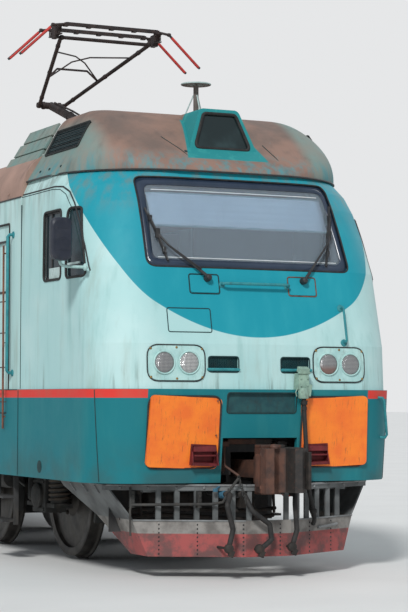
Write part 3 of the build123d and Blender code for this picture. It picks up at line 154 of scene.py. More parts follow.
def bodyPaint(name, aquaShade):
    f = Finish(name)
    across = f.calc("ABSOLUTE", f.x)
    along = f.calc("ABSOLUTE", f.y)
    ledge = loco["ledgeZ"]
    # cloudy, streaked and stained aqua
    colour = f.over(aquaShade, f.patches(0.35, 0.7, 0.9, 5), 0.65, livery["aquaPale"])
    colour = f.over(colour, f.patches(0.52, 0.75, 7, 5, 0.6, (1, 1, 0.09)), 0.45, (0.24, 0.45, 0.43))
    colour = f.over(colour, f.patches(0.50, 0.72, 3.5, 6, 0.65, (1, 1, 0.16)), 0.45, (0.30, 0.36, 0.30))
    # turquoise sweep round the windscreen, on both cabs
    slope = 0.02
    for level, lean in livery["lean"]:
        slope = f.calc("ADD", f.times(f.calc("MAXIMUM", f.calc("SUBTRACT", f.z, level), 0), lean), slope)
    depth = f.calc("SUBTRACT", f.calc("SUBTRACT", -loco["noseY"], along), slope)
    curve = f.times(f.calc("POWER", across, 2.0), livery["smileCurve"])
    edge = f.calc("ADD", f.calc("ADD", curve, livery["smileLow"]), f.times(depth, livery["smileRise"]))
    sweep = f.times(f.rise(f.calc("SUBTRACT", f.z, edge), -0.004, 0.004), f.rise(along, 6.9, 6.95))
    faded = f.patches(0.4, 0.75, 3, 5, 0.6, (1, 1, 0.3))
    colour = f.blend(sweep, colour, f.over(livery["turquoise"], faded, 0.4, livery["turquoiseFaded"]))
    # dark lower band and the red stripe, which stops short of the lamps
    faded = f.patches(0.45, 0.75, 4, 5, 0.6, (1, 1, 0.2))
    bandTint = f.over(livery["band"], faded, 0.5, livery["bandWorn"])
    colour = f.blend(f.rise(f.z, ledge + 0.001, ledge - 0.001), colour, bandTint)
    stripe = f.times(f.between(f.z, *livery["stripeZ"], 0.0015), f.rise(across, 1.137, 1.14))
    red = f.over(livery["stripe"], f.patches(0.4, 0.7, 5, 5, 0.6, (1, 1, 0.5)), 0.6, livery["stripeFaded"])
    colour = f.blend(stripe, colour, red)
    # dirt: splashes at the skirt, runs above the ledge, dust at the eaves, chips down to the rust
    splash = f.times(f.rise(f.z, 1.35, 0.85), f.patches(0.35, 0.65, 2.5, 6))
    colour = f.over(colour, splash, 0.4, livery["grime"])
    above = f.times(f.rise(f.z, ledge + 0.34, ledge), f.rise(f.z, ledge - 0.02, ledge))
    runs = f.times(f.patches(0.53, 0.72, 16, 5, 0.65, (1, 1, 0.06)), above)
    colour = f.over(colour, runs, 0.55, (0.10, 0.13, 0.11))
    eaves = f.times(f.rise(f.z, 3.25, 3.75), f.patches(0.42, 0.68, 9, 5, 0.6, (1, 1, 0.12)))
    colour = f.over(colour, eaves, 0.55, (0.17, 0.19, 0.16))
    colour = f.over(colour, f.patches(0.71, 0.74, 38, 6, 0.7), 0.5, livery["rust"])
    f.set(Base_Color=colour, Specular_IOR_Level=0.28).roughness(0.44, 0.70, 3, 6, 0.7)
    f.bump(f.calc("ADD", f.times(f.noise(260, 3, 0.6), 0.25), f.times(f.noise(1.4, 2), 1.5)), 0.22)
    return f.material


def hoodPaint():
    f = Finish("hoodPaint")
    # dusty brown on the front and top, grey green on the sides
    dust = f.mottled((0.27, 0.165, 0.125), (0.16, 0.115, 0.095), 0.35, 0.7, 2.2, 6)
    side = f.mottled((0.17, 0.26, 0.235), (0.22, 0.235, 0.205), 0.35, 0.7, 3, 6)
    colour = f.blend(f.rise(f.calc("ABSOLUTE", f.calc("ADD", f.x, 0.14)), 0.96, 1.14), dust, side)
    # bright paint low down and where it is scraped clean, with soot over all
    worn = f.times(f.rise(f.z, 4.05, 3.83), f.patches(0.42, 0.66, 11, 6, 0.65, (1, 1, 0.25)))
    colour = f.over(colour, worn, 0.8, (0.05, 0.26, 0.29))
    colour = f.over(colour, f.patches(0.66, 0.74, 9, 7, 0.7, (1, 1, 0.15)), 0.6, (0.10, 0.30, 0.32))
    colour = f.over(colour, f.patches(0.5, 0.8, 5, 5, 0.6, (1, 1, 0.2)), 0.5, (0.07, 0.06, 0.055))
    # teal dormer casing
    half = f.calc("SUBTRACT", 0.428, f.times(f.calc("SUBTRACT", f.z, 3.93), 0.38))
    overhang = f.calc("SUBTRACT", f.calc("ABSOLUTE", f.x), half)
    casing = f.times(f.rise(overhang, 0.012, -0.004), f.rise(f.calc("ABSOLUTE", f.y), 7.62, 7.66))
    casing = f.times(casing, f.rise(f.z, 3.925, 3.935))
    colour = f.blend(casing, colour, f.mottled((0.008, 0.23, 0.24), (0.03, 0.30, 0.29), 0.5, 0.75, 12, 6))
    f.set(Base_Color=colour).roughness(0.55, 0.85, 6, 6).relief((300, 3), 0.3, (6, 4), 0.25)
    return f.material


def plainPaint(name, base, second, dirt, dirtAmount, scale, rough=(0.45, 0.7), metal=0.0, grain=220,
               shadeFrom=None):
    f = Finish(name)
    colour = f.mottled(base, second, 0.35, 0.68, scale, 6)
    colour = f.over(colour, f.patches(0.48, 0.75, scale * 2.7, 7, 0.65, (1, 1, 0.4)), dirtAmount, dirt)
    if shadeFrom:
        # painted shade: the grilles are darkened to near black inside the hood, where shade falls
        shade = f.rise(f.calc("ABSOLUTE", f.y), shadeFrom, shadeFrom + 0.03)
        colour = f.blend(shade, colour, (0.010, 0.014, 0.014))
    f.set(Base_Color=colour, Metallic=metal, Specular_IOR_Level=0.3 if rough[0] > 0.4 else 0.5)
    f.roughness(*rough, scale * 3, 6).relief((grain, 3), 0.4, (scale * 4, 5), 0.2, 0.003)
    return f.material


def orangePaint():
    f = Finish("orangePaint")
    colour = f.mottled((0.96, 0.235, 0.018), (0.86, 0.16, 0.018), 0.35, 0.7, 5, 6)
    streaks = f.times(f.patches(0.3, 0.6, 2.0, 4), f.patches(0.55, 0.68, 55, 6, 0.75, (1, 1, 0.07)))
    colour = f.over(colour, streaks, 0.75, (0.28, 0.075, 0.03))
    colour = f.over(colour, f.patches(0.66, 0.7, 120, 4, 0.7), 0.5, (0.22, 0.07, 0.03))
    f.set(Base_Color=colour).roughness(0.4, 0.6, 20, 5)
    f.bump(f.calc("ADD", f.noise(180, 4), f.times(f.noise(3, 3), 2)), 0.2, 0.003)
    return f.material


def ploughPaint():
    f = Finish("ploughPaint")
    # grey sheet above, a paler strip, and red along the foot
    grey = f.mottled((0.15, 0.16, 0.16), (0.075, 0.08, 0.08), 0.35, 0.7, 4, 6)
    pale = f.mottled((0.26, 0.245, 0.225), (0.12, 0.11, 0.10), 0.4, 0.7, 6, 6)
    red = f.mottled((0.34, 0.07, 0.065), (0.13, 0.055, 0.052), 0.42, 0.62, 5, 7, 0.65)
    colour = f.blend(f.rise(f.z, 0.535, 0.525), grey, pale)
    colour = f.blend(f.rise(f.z, 0.412, 0.405), colour, red)
    colour = f.over(colour, f.patches(0.58, 0.7, 14, 7, 0.7), 0.55, (0.12, 0.065, 0.045))
    f.set(Base_Color=colour, Roughness=0.65).relief((150, 3), 0.5, (12, 5), 0.35)
    return f.material


def wheelSteel():
    f = Finish("wheelSteel")
    colour = f.mottled((0.075, 0.068, 0.06), (0.035, 0.032, 0.03), 0.35, 0.7, 6, 6)
    f.set(Base_Color=colour, Metallic=0.55).roughness(0.35, 0.7, 9, 6).bump(f.noise(90, 5), 0.25, 0.003)
    return f.material


def couplerSteel():
    f = Finish("couplerSteel")
    rusty = f.mottled((0.13, 0.060, 0.040), (0.06, 0.035, 0.028), 0.35, 0.68, 9, 6)
    dark = f.mottled((0.045, 0.038, 0.034), (0.022, 0.021, 0.020), 0.35, 0.68, 8, 6)
    # the guard arm on the right of each coupler is darker than the drum beside it
    guard = f.rise(f.times(f.x, f.calc("SIGN", f.times(f.y, -1))), 0.04, 0.07)
    colour = f.over(f.blend(guard, rusty, dark), f.patches(0.55, 0.7, 30, 7, 0.7), 0.5, (0.16, 0.07, 0.045))
    f.set(Base_Color=colour, Metallic=0.25).roughness(0.5, 0.8, 20, 6).relief((140, 4), 0.5, (22, 5), 0.4)
    return f.material


def screenGlass():
    f = Finish("screenGlass")
    f.set(Base_Color=(0.66, 0.78, 0.88), Transmission_Weight=0.85, Roughness=0.02, IOR=1.5)
    f.bump(f.noise(0.8, 2), 0.02, 0.002)
    return f.material


def darkGlass(name, tint):
    f = Finish(name)
    colour = f.mottled(tint, tuple(3.2 * part for part in tint), 0.4, 0.7, 1.5, 5)
    f.set(Base_Color=colour, Roughness=0.06, IOR=1.5).bump(f.noise(1.2, 2), 0.03, 0.002)
    return f.material


def lensGlass():
    f = Finish("lensGlass")
    # pressed prisms seen as a fine diagonal lattice
    first = f.calc("SINE", f.times(f.calc("ADD", f.x, f.z), 250))
    second = f.calc("SINE", f.times(f.calc("SUBTRACT", f.x, f.z), 250))
    lattice = f.times(first, second)
    colour = f.blend(f.rise(lattice, -0.3, 0.3), (0.13, 0.13, 0.14), (0.40, 0.40, 0.39))
    # painted highlight: the prisms of the inner left lens shine bright
    bright = f.times(f.between(f.x, -0.83, -0.60), f.rise(lattice, -0.2, 0.4))
    colour = f.over(colour, bright, 0.8, (0.85, 0.85, 0.82))
    rusty = f.times(f.rise(f.z, 1.97, 1.90), f.between(f.x, 0.6, 0.84))
    colour = f.over(colour, rusty, 0.7, (0.22, 0.09, 0.06))
    f.set(Base_Color=colour, Metallic=0.35, Roughness=0.16, IOR=1.5).bump(lattice, 0.5)
    return f.material


finishes = {
    "cab": bodyPaint("cabPaint", livery["aqua"]),
    "side": bodyPaint("sidePaint", (0.46, 0.67, 0.65)),
    "hood": hoodPaint(),
    "orange": orangePaint(),
    "plough": ploughPaint(),
    "glass": screenGlass(),
    "dark": darkGlass("darkGlass", (0.012, 0.022, 0.026)),
    "dormerGlass": darkGlass("dormerGlass", (0.012, 0.022, 0.023)),
    "lens": lensGlass(),
    "coupler": couplerSteel(),
    "wheel": wheelSteel(),
    # the roof screens, with painted shade making them near black inside the hood's grilles
    "screens": plainPaint("screenPaint", (0.17, 0.27, 0.245), (0.24, 0.26, 0.225), (0.06, 0.055, 0.05), 0.5, 4,
                          shadeFrom=6.7),
}
plainPaints = {
    # two colours that mix, the dirt's colour and share, the pattern's scale, then roughness, metal and grain
    "roof": ("roofPaint", (0.43, 0.275, 0.22), (0.31, 0.205, 0.165), (0.09, 0.075, 0.065), 0.55, 1.6, (0.6, 0.88)),
    "maroon": ("maroonPaint", (0.17, 0.022, 0.025), (0.10, 0.015, 0.018), (0.03, 0.015, 0.012), 0.5, 12),
    "lampPlate": ("lampPlatePaint", (0.46, 0.68, 0.65), (0.36, 0.58, 0.56), (0.12, 0.11, 0.08), 0.35, 9),
    "bogie": ("bogiePaint", (0.055, 0.055, 0.052), (0.028, 0.028, 0.027), (0.10, 0.085, 0.07), 0.5, 4, (0.55, 0.85),
              0.1, 120),
    "under": ("underPaint", (0.05, 0.05, 0.05), (0.03, 0.03, 0.03), (0.09, 0.08, 0.065), 0.5, 2.5, (0.6, 0.85)),
    "rubber": ("hoseRubber", (0.018, 0.018, 0.018), (0.032, 0.031, 0.03), (0.07, 0.06, 0.05), 0.35, 14, (0.55, 0.8)),
    "railTeal": ("tealRail", (0.025, 0.20, 0.23), (0.04, 0.26, 0.28), (0.06, 0.06, 0.05), 0.4, 16),
    "rail": ("railPaint", (0.02, 0.10, 0.11), (0.035, 0.13, 0.13), (0.06, 0.05, 0.04), 0.4, 14),
    "grey": ("greyPaint", (0.24, 0.25, 0.25), (0.15, 0.155, 0.155), (0.08, 0.07, 0.06), 0.5, 5),
    "trim": ("blackTrim", (0.015, 0.015, 0.016), (0.03, 0.03, 0.031), (0.06, 0.055, 0.05), 0.3, 12, (0.4, 0.6)),
    "lining": ("liningPaint", (0.20, 0.27, 0.25), (0.16, 0.22, 0.21), (0.08, 0.08, 0.07), 0.25, 3),
    "desk": ("deskPlastic", (0.06, 0.07, 0.07), (0.045, 0.05, 0.052), (0.02, 0.02, 0.02), 0.2, 8),
    "seat": ("seatCloth", (0.035, 0.045, 0.07), (0.02, 0.025, 0.04), (0.01, 0.01, 0.012), 0.3, 30, (0.8, 0.95),
             0.0, 600),
    "machine": ("machinePaint", (0.26, 0.28, 0.27), (0.20, 0.22, 0.21), (0.06, 0.06, 0.05), 0.3, 2),
    "collector": ("collectorPaint", (0.035, 0.03, 0.03), (0.06, 0.045, 0.042), (0.11, 0.06, 0.045), 0.4, 10,
                  (0.45, 0.75), 0.3),
    "ceramic": ("glazedCeramic", (0.13, 0.035, 0.02), (0.09, 0.025, 0.015), (0.05, 0.04, 0.035), 0.3, 14, (0.12, 0.3)),
    "roofGear": ("roofGearPaint", (0.16, 0.14, 0.125), (0.10, 0.09, 0.08), (0.06, 0.05, 0.045), 0.4, 6),
    "copper": ("busCopper", (0.25, 0.12, 0.07), (0.16, 0.09, 0.06), (0.06, 0.05, 0.045), 0.4, 12, (0.35, 0.6), 0.7),
    "redPaint": ("signalRed", (0.55, 0.05, 0.04), (0.42, 0.045, 0.04), (0.10, 0.04, 0.03), 0.35, 16),
    "bluePaint": ("cockBlue", (0.05, 0.16, 0.24), (0.035, 0.11, 0.17), (0.04, 0.04, 0.04), 0.4, 20),
    "steel": ("bareSteel", (0.32, 0.31, 0.30), (0.22, 0.21, 0.20), (0.10, 0.07, 0.05), 0.4, 16, (0.3, 0.5), 0.8),
    "pale": ("palePaint", (0.50, 0.62, 0.60), (0.40, 0.52, 0.50), (0.15, 0.13, 0.11), 0.4, 14),
    "screenBorder": ("screenBorder", (0.02, 0.035, 0.06), (0.03, 0.045, 0.075), (0.05, 0.06, 0.07), 0.2, 3,
                     (0.15, 0.3)),
    "white": ("wireWhite", (0.72, 0.76, 0.76), (0.60, 0.66, 0.68), (0.40, 0.42, 0.42), 0.2, 6),
    "rust": ("rustyEdge", (0.22, 0.09, 0.055), (0.12, 0.055, 0.04), (0.05, 0.035, 0.03), 0.5, 18, (0.7, 0.9)),
    "seam": ("seamFiller", (0.008, 0.035, 0.04), (0.02, 0.05, 0.05), (0.04, 0.035, 0.03), 0.4, 20, (0.6, 0.8)),
    "railDark": ("darkRail", (0.012, 0.035, 0.04), (0.02, 0.05, 0.055), (0.05, 0.045, 0.035), 0.4, 18),
    "railPale": ("paleRail", (0.42, 0.62, 0.59), (0.34, 0.50, 0.48), (0.16, 0.14, 0.11), 0.4, 18),
    "brass": ("agedBrass", (0.42, 0.27, 0.10), (0.28, 0.18, 0.08), (0.08, 0.06, 0.04), 0.4, 20, (0.3, 0.5), 0.8),
    # dark teal of the recess linings, darkened as painted shade inside the recesses
    "recess": ("recessTealWithShade", (0.012, 0.055, 0.065), (0.02, 0.08, 0.085), (0.03, 0.03, 0.025), 0.5, 10),
    "socketPaint": ("socketPaint", (0.30, 0.44, 0.35), (0.22, 0.33, 0.27), (0.10, 0.09, 0.06), 0.5, 14),
    "castIron": ("castIron", (0.03, 0.028, 0.026), (0.05, 0.043, 0.038), (0.11, 0.06, 0.04), 0.4, 12, (0.55, 0.85),
                 0.25, 110),
    "mirrorShell": ("mirrorShell", (0.010, 0.014, 0.026), (0.018, 0.022, 0.035), (0.05, 0.05, 0.05), 0.25, 10,
                    (0.3, 0.5)),
    "springSteel": ("springSteel", (0.085, 0.07, 0.055), (0.05, 0.043, 0.036), (0.13, 0.075, 0.05), 0.4, 14,
                    (0.5, 0.75), 0.4),
    "carbon": ("carbonStrip", (0.035, 0.035, 0.037), (0.02, 0.02, 0.021), (0.09, 0.085, 0.08), 0.3, 30, (0.4, 0.6)),
    "blind": ("blindCloth", (0.88, 0.92, 0.95), (0.80, 0.84, 0.88), (0.6, 0.63, 0.66), 0.3, 2.5, (0.8, 0.9),
              0.0, 500),
}
for key, row in plainPaints.items():
    finishes[key] = plainPaint(*row)
print("finishes made:", len(finishes))

nodeFinish = {
    # how the names of the nodes in each finish start
    "cab": ("cab_shell", "apron"), "side": ("side_wall", "door_", "side_grilles"), "hood": ("roof_hoods",),
    "roof": ("main_roof",), "screens": ("roof_screens",), "orange": ("end_panels",), "maroon": ("step_boxes",),
    "plough": ("ploughs",), "glass": ("windscreens",), "dark": ("side_glass",), "lampPlate": ("lamp_plates",),
    "lens": ("lamps",), "coupler": ("couplers",), "wheel": ("wheelset",), "rail": ("handrails",),
    "bogie": ("axleboxes", "bogie_frame", "traction_motors", "brake_gear"), "rubber": ("brake_hoses", "jumper"),
    "under": ("side_sills", "end_beams", "bogie_pads", "entry_steps", "underframe", "underfloor_boxes"),
    "trim": ("mirrors", "wipers"), "lining": ("cab_bulkheads",), "desk": ("driver_desks",), "seat": ("driver_seats",),
    "machine": ("machine_block",), "collector": ("pantograph",), "roofGear": ("roof_equipment",),
}
for nodeName, nodeObject in nodes.items():
    finish = next(key for key, starts in nodeFinish.items() if nodeName.startswith(starts))
    nodeObject.data.materials.clear()
    nodeObject.data.materials.append(finishes[finish])
print("nodes dressed:", len(nodes))

# Shape of the cab front, repeated from the part so that small pieces lie on it
cabForm = {
    "bow": 20.0,
    "levels": [  # height, set back, half width, end of the bow
        (1.725, 0.0, 1.55, 1.06), (2.14, 0.02, 1.55, 1.05), (2.85, 0.175, 1.55, 0.99), (3.2, 0.325, 1.548, 0.93),
        (3.475, 0.45, 1.545, 0.845), (3.645, 0.53, 1.54, 0.72), (3.787, 0.598, 1.48, 0.54),
    ],
    "apron": [(0.868, 0.045, 1.572, 1.06), (1.725, -0.05, 1.572, 1.06)],
    "hood": [
        (3.787, 0.56, 1.505, 0.5), (3.99, 0.745, 1.378, 0.86), (4.19, 0.985, 1.258, 1.0), (4.36, 1.23, 1.157, 0.94),
        (4.445, 1.43, 1.08, 0.88), (4.475, 1.58, 1.0, 0.84),
    ],
}


def outlineAt(z, levels):
    for low, high in zip(levels, levels[1:]):
        if z <= high[0]:
            break
    share = (z - low[0]) / (high[0] - low[0])
    front, half, edge = (a + (b - a) * share for a, b in zip(low[1:], high[1:]))
    turn = math.asin(edge / cabForm["bow"])
    radius = (half - edge) / (1 - math.sin(turn))
    bowY = loco["noseY"] + front
    centreX = edge - radius * math.sin(turn)
    centreY = bowY + cabForm["bow"] * (1 - math.cos(turn)) + radius * math.cos(turn)
    return bowY, half, edge, radius, centreX, centreY


def frontY(x, z, levels):
    bowY, half, edge, radius, centreX, centreY = outlineAt(z, levels)
    x = abs(x)
    if x <= edge:
        return bowY + cabForm["bow"] - math.sqrt(cabForm["bow"] ** 2 - x * x)
    return centreY - math.sqrt(max(radius ** 2 - (x - centreX) ** 2, 0))


def onFront(x, z, out=0.0, levels=cabForm["levels"]):
    step = 0.004
    here = frontY(x, z, levels)
    slopeX = (frontY(x + step, z, levels) - frontY(x - step, z, levels)) / (2 * step)
    slopeZ = (frontY(x, z + step, levels) - here) / step
    return Vector((x, here, z)) + Vector((slopeX, -1, slopeZ)).normalized() * out


def sideX(y, z, levels):
    bowY, half, edge, radius, centreX, centreY = outlineAt(z, levels)
    if y >= centreY:
        return half
    return centreX + math.sqrt(max(radius ** 2 - (centreY - y) ** 2, 0))


def onSide(y, z, side, out=0.0, levels=cabForm["levels"]):
    step = 0.004
    here = sideX(y, z, levels)
    slopeY = (sideX(y + step, z, levels) - sideX(y - step, z, levels)) / (2 * step)
    slopeZ = (sideX(y, z + step, levels) - here) / step
    point = Vector((here, y, z)) + Vector((1, -slopeY, -slopeZ)).normalized() * out
    return Vector((side * point.x, point.y, point.z))


def roundCorners(corners, radius, step=0.06, closed=True):
    # points round a flat outline, with its corners rounded and its runs divided
    count = len(corners)
    points = []
    for i, corner in enumerate(corners):
        here = Vector(corner)
        if not closed and i in (0, count - 1):
            points.append(here)
            continue
        before, after = Vector(corners[i - 1]), Vector(corners[(i + 1) % count])
        inward, onward = (before - here).normalized(), (after - here).normalized()
        half = inward.angle(onward) / 2
        reach = min(radius / math.tan(half), (before - here).length * 0.48, (after - here).length * 0.48)
        for k in range(7):
            t = k / 6
            points.append(here + inward * reach * (1 - t) ** 2 + onward * reach * t ** 2)
    dense = []
    for a, b in zip(points, points[1:] + (points[:1] if closed else [])):
        parts = max(1, math.ceil((b - a).length / step))
        dense += [a.lerp(b, k / parts) for k in range(parts)]
    return dense + ([] if closed else [points[-1]])


def boxLoop(x1, x2, z1, z2, radius, step=0.06):
    return roundCorners([(x1, z1), (x2, z1), (x2, z2), (x1, z2)], radius, step)


def frontLine(points, out=0.0, levels=cabForm["levels"]):
    return [onFront(x, z, out, levels) for x, z in points]


def sideLine(points, side, out=0.0, levels=cabForm["levels"]):
    return [onSide(y, z, side, out, levels) for y, z in points]


def circle(count, radius, start=0.0):
    # points round the origin of a plane
    turns = [start + math.tau * k / count for k in range(count)]
    return [(radius * math.cos(a), radius * math.sin(a)) for a in turns]


def ringFaces(count, sides, closed=False):
    # faces between rings of points, with flat ends unless the rings close on themselves
    faces = []
    for i in range(count if closed else count - 1):
        j = (i + 1) % count
        faces += [(i * sides + k, i * sides + (k + 1) % sides, j * sides + (k + 1) % sides, j * sides + k)
                  for k in range(sides)]
    if not closed:
        faces += [tuple(reversed(range(sides))), tuple(range((count - 1) * sides, count * sides))]
    return faces

class Form:
    # gathers the faces of one piece, in the row frame
    def __init__(self):
        self.points, self.faces = [], []

    def put(self, points, faces):
        base = len(self.points)
        self.points += [Vector(point) for point in points]
        self.faces += [[base + i for i in face] for face in faces]
        return self

    def block(self, centre, size, turn=(0, 0, 0), taper=(1, 1)):
        matrix = Matrix.Translation(centre) @ Matrix.Rotation(turn[2], 4, "Z") @ Matrix.Rotation(turn[1], 4, "Y")
        matrix = matrix @ Matrix.Rotation(turn[0], 4, "X")
        corners = []
        for z, kx, ky in ((-0.5, 1, 1), (0.5, *taper)):
            corners += [Vector((x * kx * size[0], y * ky * size[1], z * size[2])) for x, y in
                        ((-0.5, -0.5), (0.5, -0.5), (0.5, 0.5), (-0.5, 0.5))]
        faces = [(3, 2, 1, 0), (4, 5, 6, 7), (0, 1, 5, 4), (1, 2, 6, 5), (2, 3, 7, 6), (3, 0, 4, 7)]
        return self.put([matrix @ corner for corner in corners], faces)

    def tube(self, path, radius, sides=12, closed=False):
        path = [Vector(point) for point in path]
        radii = radius if isinstance(radius, (list, tuple)) else [radius] * len(path)
        count = len(path)
        rings, upright = [], None
        for i, point in enumerate(path):
            before = path[i - 1] if i or closed else point
            after = path[(i + 1) % count] if i < count - 1 or closed else point
            way = (after - before).normalized()
            if upright is None:
                upright = way.orthogonal().normalized()
            upright = (upright - way * upright.dot(way)).normalized()
            across = way.cross(upright)
            rings.append([point + (upright * math.cos(a) + across * math.sin(a)) * radii[i]
                          for a in (math.tau * k / sides for k in range(sides))])
        return self.put([point for ring in rings for point in ring], ringFaces(count, sides, closed))

    def lathe(self, profile, place, axis=(0, 0, 1), sides=28):
        # profile rows are radius and height along the axis
        way = Vector(axis).normalized()
        upright = way.orthogonal().normalized()
        across = way.cross(upright)
        points = []
        for radius, height in profile:
            points += [Vector(place) + way * height + (upright * math.cos(a) + across * math.sin(a)) * radius
                       for a in (math.tau * k / sides for k in range(sides))]
        return self.put(points, ringFaces(len(profile), sides))

    def bolt(self, place, axis, radius=0.012, height=0.008):
        profile = [(radius, 0), (radius, height * 0.6), (radius * 0.75, height), (radius * 0.3, height * 1.05)]
        return self.lathe(profile, place, axis, 6)

    def slab(self, near, far):
        # two equal outlines, joined to a solid
        count = len(near)
        faces = [tuple(range(count)), tuple(reversed(range(count, 2 * count)))]
        faces += [(i, count + i, count + (i + 1) % count, (i + 1) % count) for i in range(count)]
        return self.put(near + far, faces)

    def band(self, outer, inner):
        count = len(outer)
        faces = [(i, (i + 1) % count, count + (i + 1) % count, count + i) for i in range(count)]
        return self.put(outer + inner, faces)

    def turned(self):
        points = [halfTurn @ point for point in self.points]
        return self.put(points, [list(face) for face in self.faces])

    def mirrored(self):
        points = [Vector((-point.x, point.y, point.z)) for point in self.points]
        return self.put(points, [list(reversed(face)) for face in self.faces])

    def build(self, name, finish, body="body", slot=None, edge=0.0, thick=0.0, smooth=35):
        mesh = bpy.data.meshes.new(name)
        mesh.from_pydata(self.points, [], self.faces)
        tidy = bmesh.new()
        tidy.from_mesh(mesh)
        bmesh.ops.recalc_face_normals(tidy, faces=tidy.faces)
        tidy.to_mesh(mesh)
        tidy.free()
        mesh.polygons.foreach_set("use_smooth", [True] * len(mesh.polygons))
        mesh.set_sharp_from_angle(angle=math.radians(smooth))
        mesh.materials.append(finishes[finish])
        piece = bpy.data.objects.new(name, mesh)
        bpy.context.collection.objects.link(piece)
        if thick:
            skin = piece.modifiers.new("thickness", "SOLIDIFY")
            skin.thickness = thick
            skin.offset = 0
        if edge:
            soft = piece.modifiers.new("edges", "BEVEL")
            soft.width = edge
            soft.segments = 2
            soft.limit_method = "ANGLE"
            soft.angle_limit = math.radians(40)
        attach(piece, body)
        return piece


def forms(count):
    return [Form() for _ in range(count)]


def shrunk(outline, margin):
    # the same outline with its reach across and up made smaller by the margin
    middle = sum(outline, Vector((0, 0))) / len(outline)
    reach = [max(abs(p[k] - middle[k]) for p in outline) for k in (0, 1)]
    return [Vector([middle[k] + (p[k] - middle[k]) * (1 - margin / reach[k]) for k in (0, 1)]) for p in outline]


# Windscreen: rubber seal, tinted border, roller blind and heating lines
screen = {
    "corners": [(-1.06, 2.85), (1.06, 2.85), (1.015, 3.722), (-1.015, 3.722)],
    "radius": 0.085, "rubber": 0.008, "border": 0.075, "borderOut": -0.012,
    "blindZ": (3.27, 3.585), "blindHalf": 0.93, "blindOut": -0.05, "blindParts": (24, 14), "bar": 0.012,
    "wires": [(3.60, 0.88), (2.945, 0.9328)], "wire": 0.0045,
}
edgeLoop = roundCorners(screen["corners"], screen["radius"])
seal = Form().tube(frontLine(edgeLoop, -0.002), screen["rubber"], 8, closed=True)
seal.turned().build("screen_seals", "rubber", slot="black_trim")
out = screen["borderOut"]
border = Form().band(frontLine(edgeLoop, out), frontLine(shrunk(edgeLoop, screen["border"]), out))
border.turned().build("screen_borders", "screenBorder", slot="tint_glass", thick=0.003)
blind = Form()
low, high = screen["blindZ"]
columns, rows = screen["blindParts"]
for row in range(rows + 1):
    for column in range(columns + 1):
        wave = 0.004 * math.sin(column * 1.7) * row / rows + 0.003 * math.sin(row * 2.3)
        x, z = screen["blindHalf"] * (2 * column / columns - 1), high + (low - high) * row / rows
        blind.points.append(onFront(x, z, screen["blindOut"] + wave))
line = columns + 1
blind.faces = [(r * line + c, r * line + c + 1, (r + 1) * line + c + 1, (r + 1) * line + c)
               for r in range(rows) for c in range(columns)]
rearBlind = Form().put([halfTurn @ point for point in blind.points], blind.faces)
for name, form in (("front_blind", blind), ("rear_blind", rearBlind)):
    cloth = form.build(name, "blind", slot="cab_lining", thick=0.0015)
blindBars, wires = forms(2)
for z in (low, high):
    barLine = [(screen["blindHalf"] * t / 6, z) for t in range(-6, 7)]
    blindBars.tube(frontLine(barLine, screen["blindOut"] - 0.008), screen["bar"], 8)
blindBars.turned().build("blind_bars", "pale", slot="cab_lining")
for z, half in screen["wires"]:
    wires.tube(frontLine([(half * t / 10, z) for t in range(-10, 11)], out - 0.004), screen["wire"], 6)
wires.turned().build("screen_heating_lines", "white", slot="cab_lining")
print("windscreens done")

# Wipers: an arm and a blade each side, on the two hatches under the windscreen
wiper = {
    # side: hub, joint, lower and upper end of the blade
    -1: [(0.48, 2.745), (0.83, 3.02), (0.85, 2.90), (0.985, 3.40)],
    1: [(0.52, 2.745), (0.86, 3.12), (0.80, 2.90), (0.985, 3.50)],
}
wiperHatch = {"x": (0.36, 0.66), "z": (2.605, 2.785), "corner": 0.025, "gap": 0.008}
arms, blades, hatches, hatchEdges, darkEdges = forms(5)
for side, spots in wiper.items():
    (hubX, hubZ), (jointX, jointZ), (lowX, lowZ), (highX, highZ) = ((side * x, z) for x, z in spots)
    hub, joint = onFront(hubX, hubZ, 0.05), onFront(jointX, jointZ, 0.05)
    low, high = onFront(lowX, lowZ, 0.012), onFront(highX, highZ, 0.012)
    middle = (low + high) / 2 + Vector((0, -0.03, 0.006))
    elbow = hub.lerp(joint, 0.22)
    arms.lathe([(0.034, -0.06), (0.034, 0.0), (0.024, 0.02), (0.01, 0.026)], hub, (0, -1, 0.2), 16)
    arms.tube([hub, elbow], [0.017, 0.015], 8).tube([elbow, joint], [0.013, 0.009], 8)
    arms.tube([elbow + Vector((0.012, -0.01, 0.01)), joint + Vector((0, -0.006, 0.006))], 0.006, 6)
    arms.tube([joint, middle], 0.011, 8).block(middle, (0.04, 0.03, 0.09))
    bladeRun = [(lowX + (highX - lowX) * t / 8, lowZ + (highZ - lowZ) * t / 8) for t in range(9)]
    bladeLine = frontLine(bladeRun, 0.010)
    blades.tube(bladeLine, 0.011, 6)
    blades.tube([point + Vector((0, -0.02, 0.004)) for point in bladeLine[1:8]], 0.009, 6)
    for share in (0.2, 0.5, 0.8):
        blades.block(low.lerp(high, share) + Vector((0, -0.016, 0.003)), (0.03, 0.034, 0.05))
    loop = boxLoop(*sorted(side * x for x in wiperHatch["x"]), *wiperHatch["z"], wiperHatch["corner"])
    inner = shrunk(loop, wiperHatch["gap"])
    hatches.slab(frontLine(inner, 0.006), frontLine(inner, -0.01))
    (hatchEdges if side > 0 else darkEdges).tube(frontLine(loop, 0.001), 0.006, 6, closed=True)
armPiece = arms.turned().build("wiper_arms", "trim", slot="black_trim", edge=0.002)
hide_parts("wipers")
blades.turned().build("wiper_blades", "trim", slot="black_trim")
hatches.turned().build("wiper_hatches", "cab", slot="cab_paint", edge=0.002)
hatchEdges.turned().build("wiper_hatch_seams", "rust", slot="cab_paint")
darkEdges.turned().build("left_wiper_hatch_seams", "seam", slot="cab_paint")
print("wipers done")

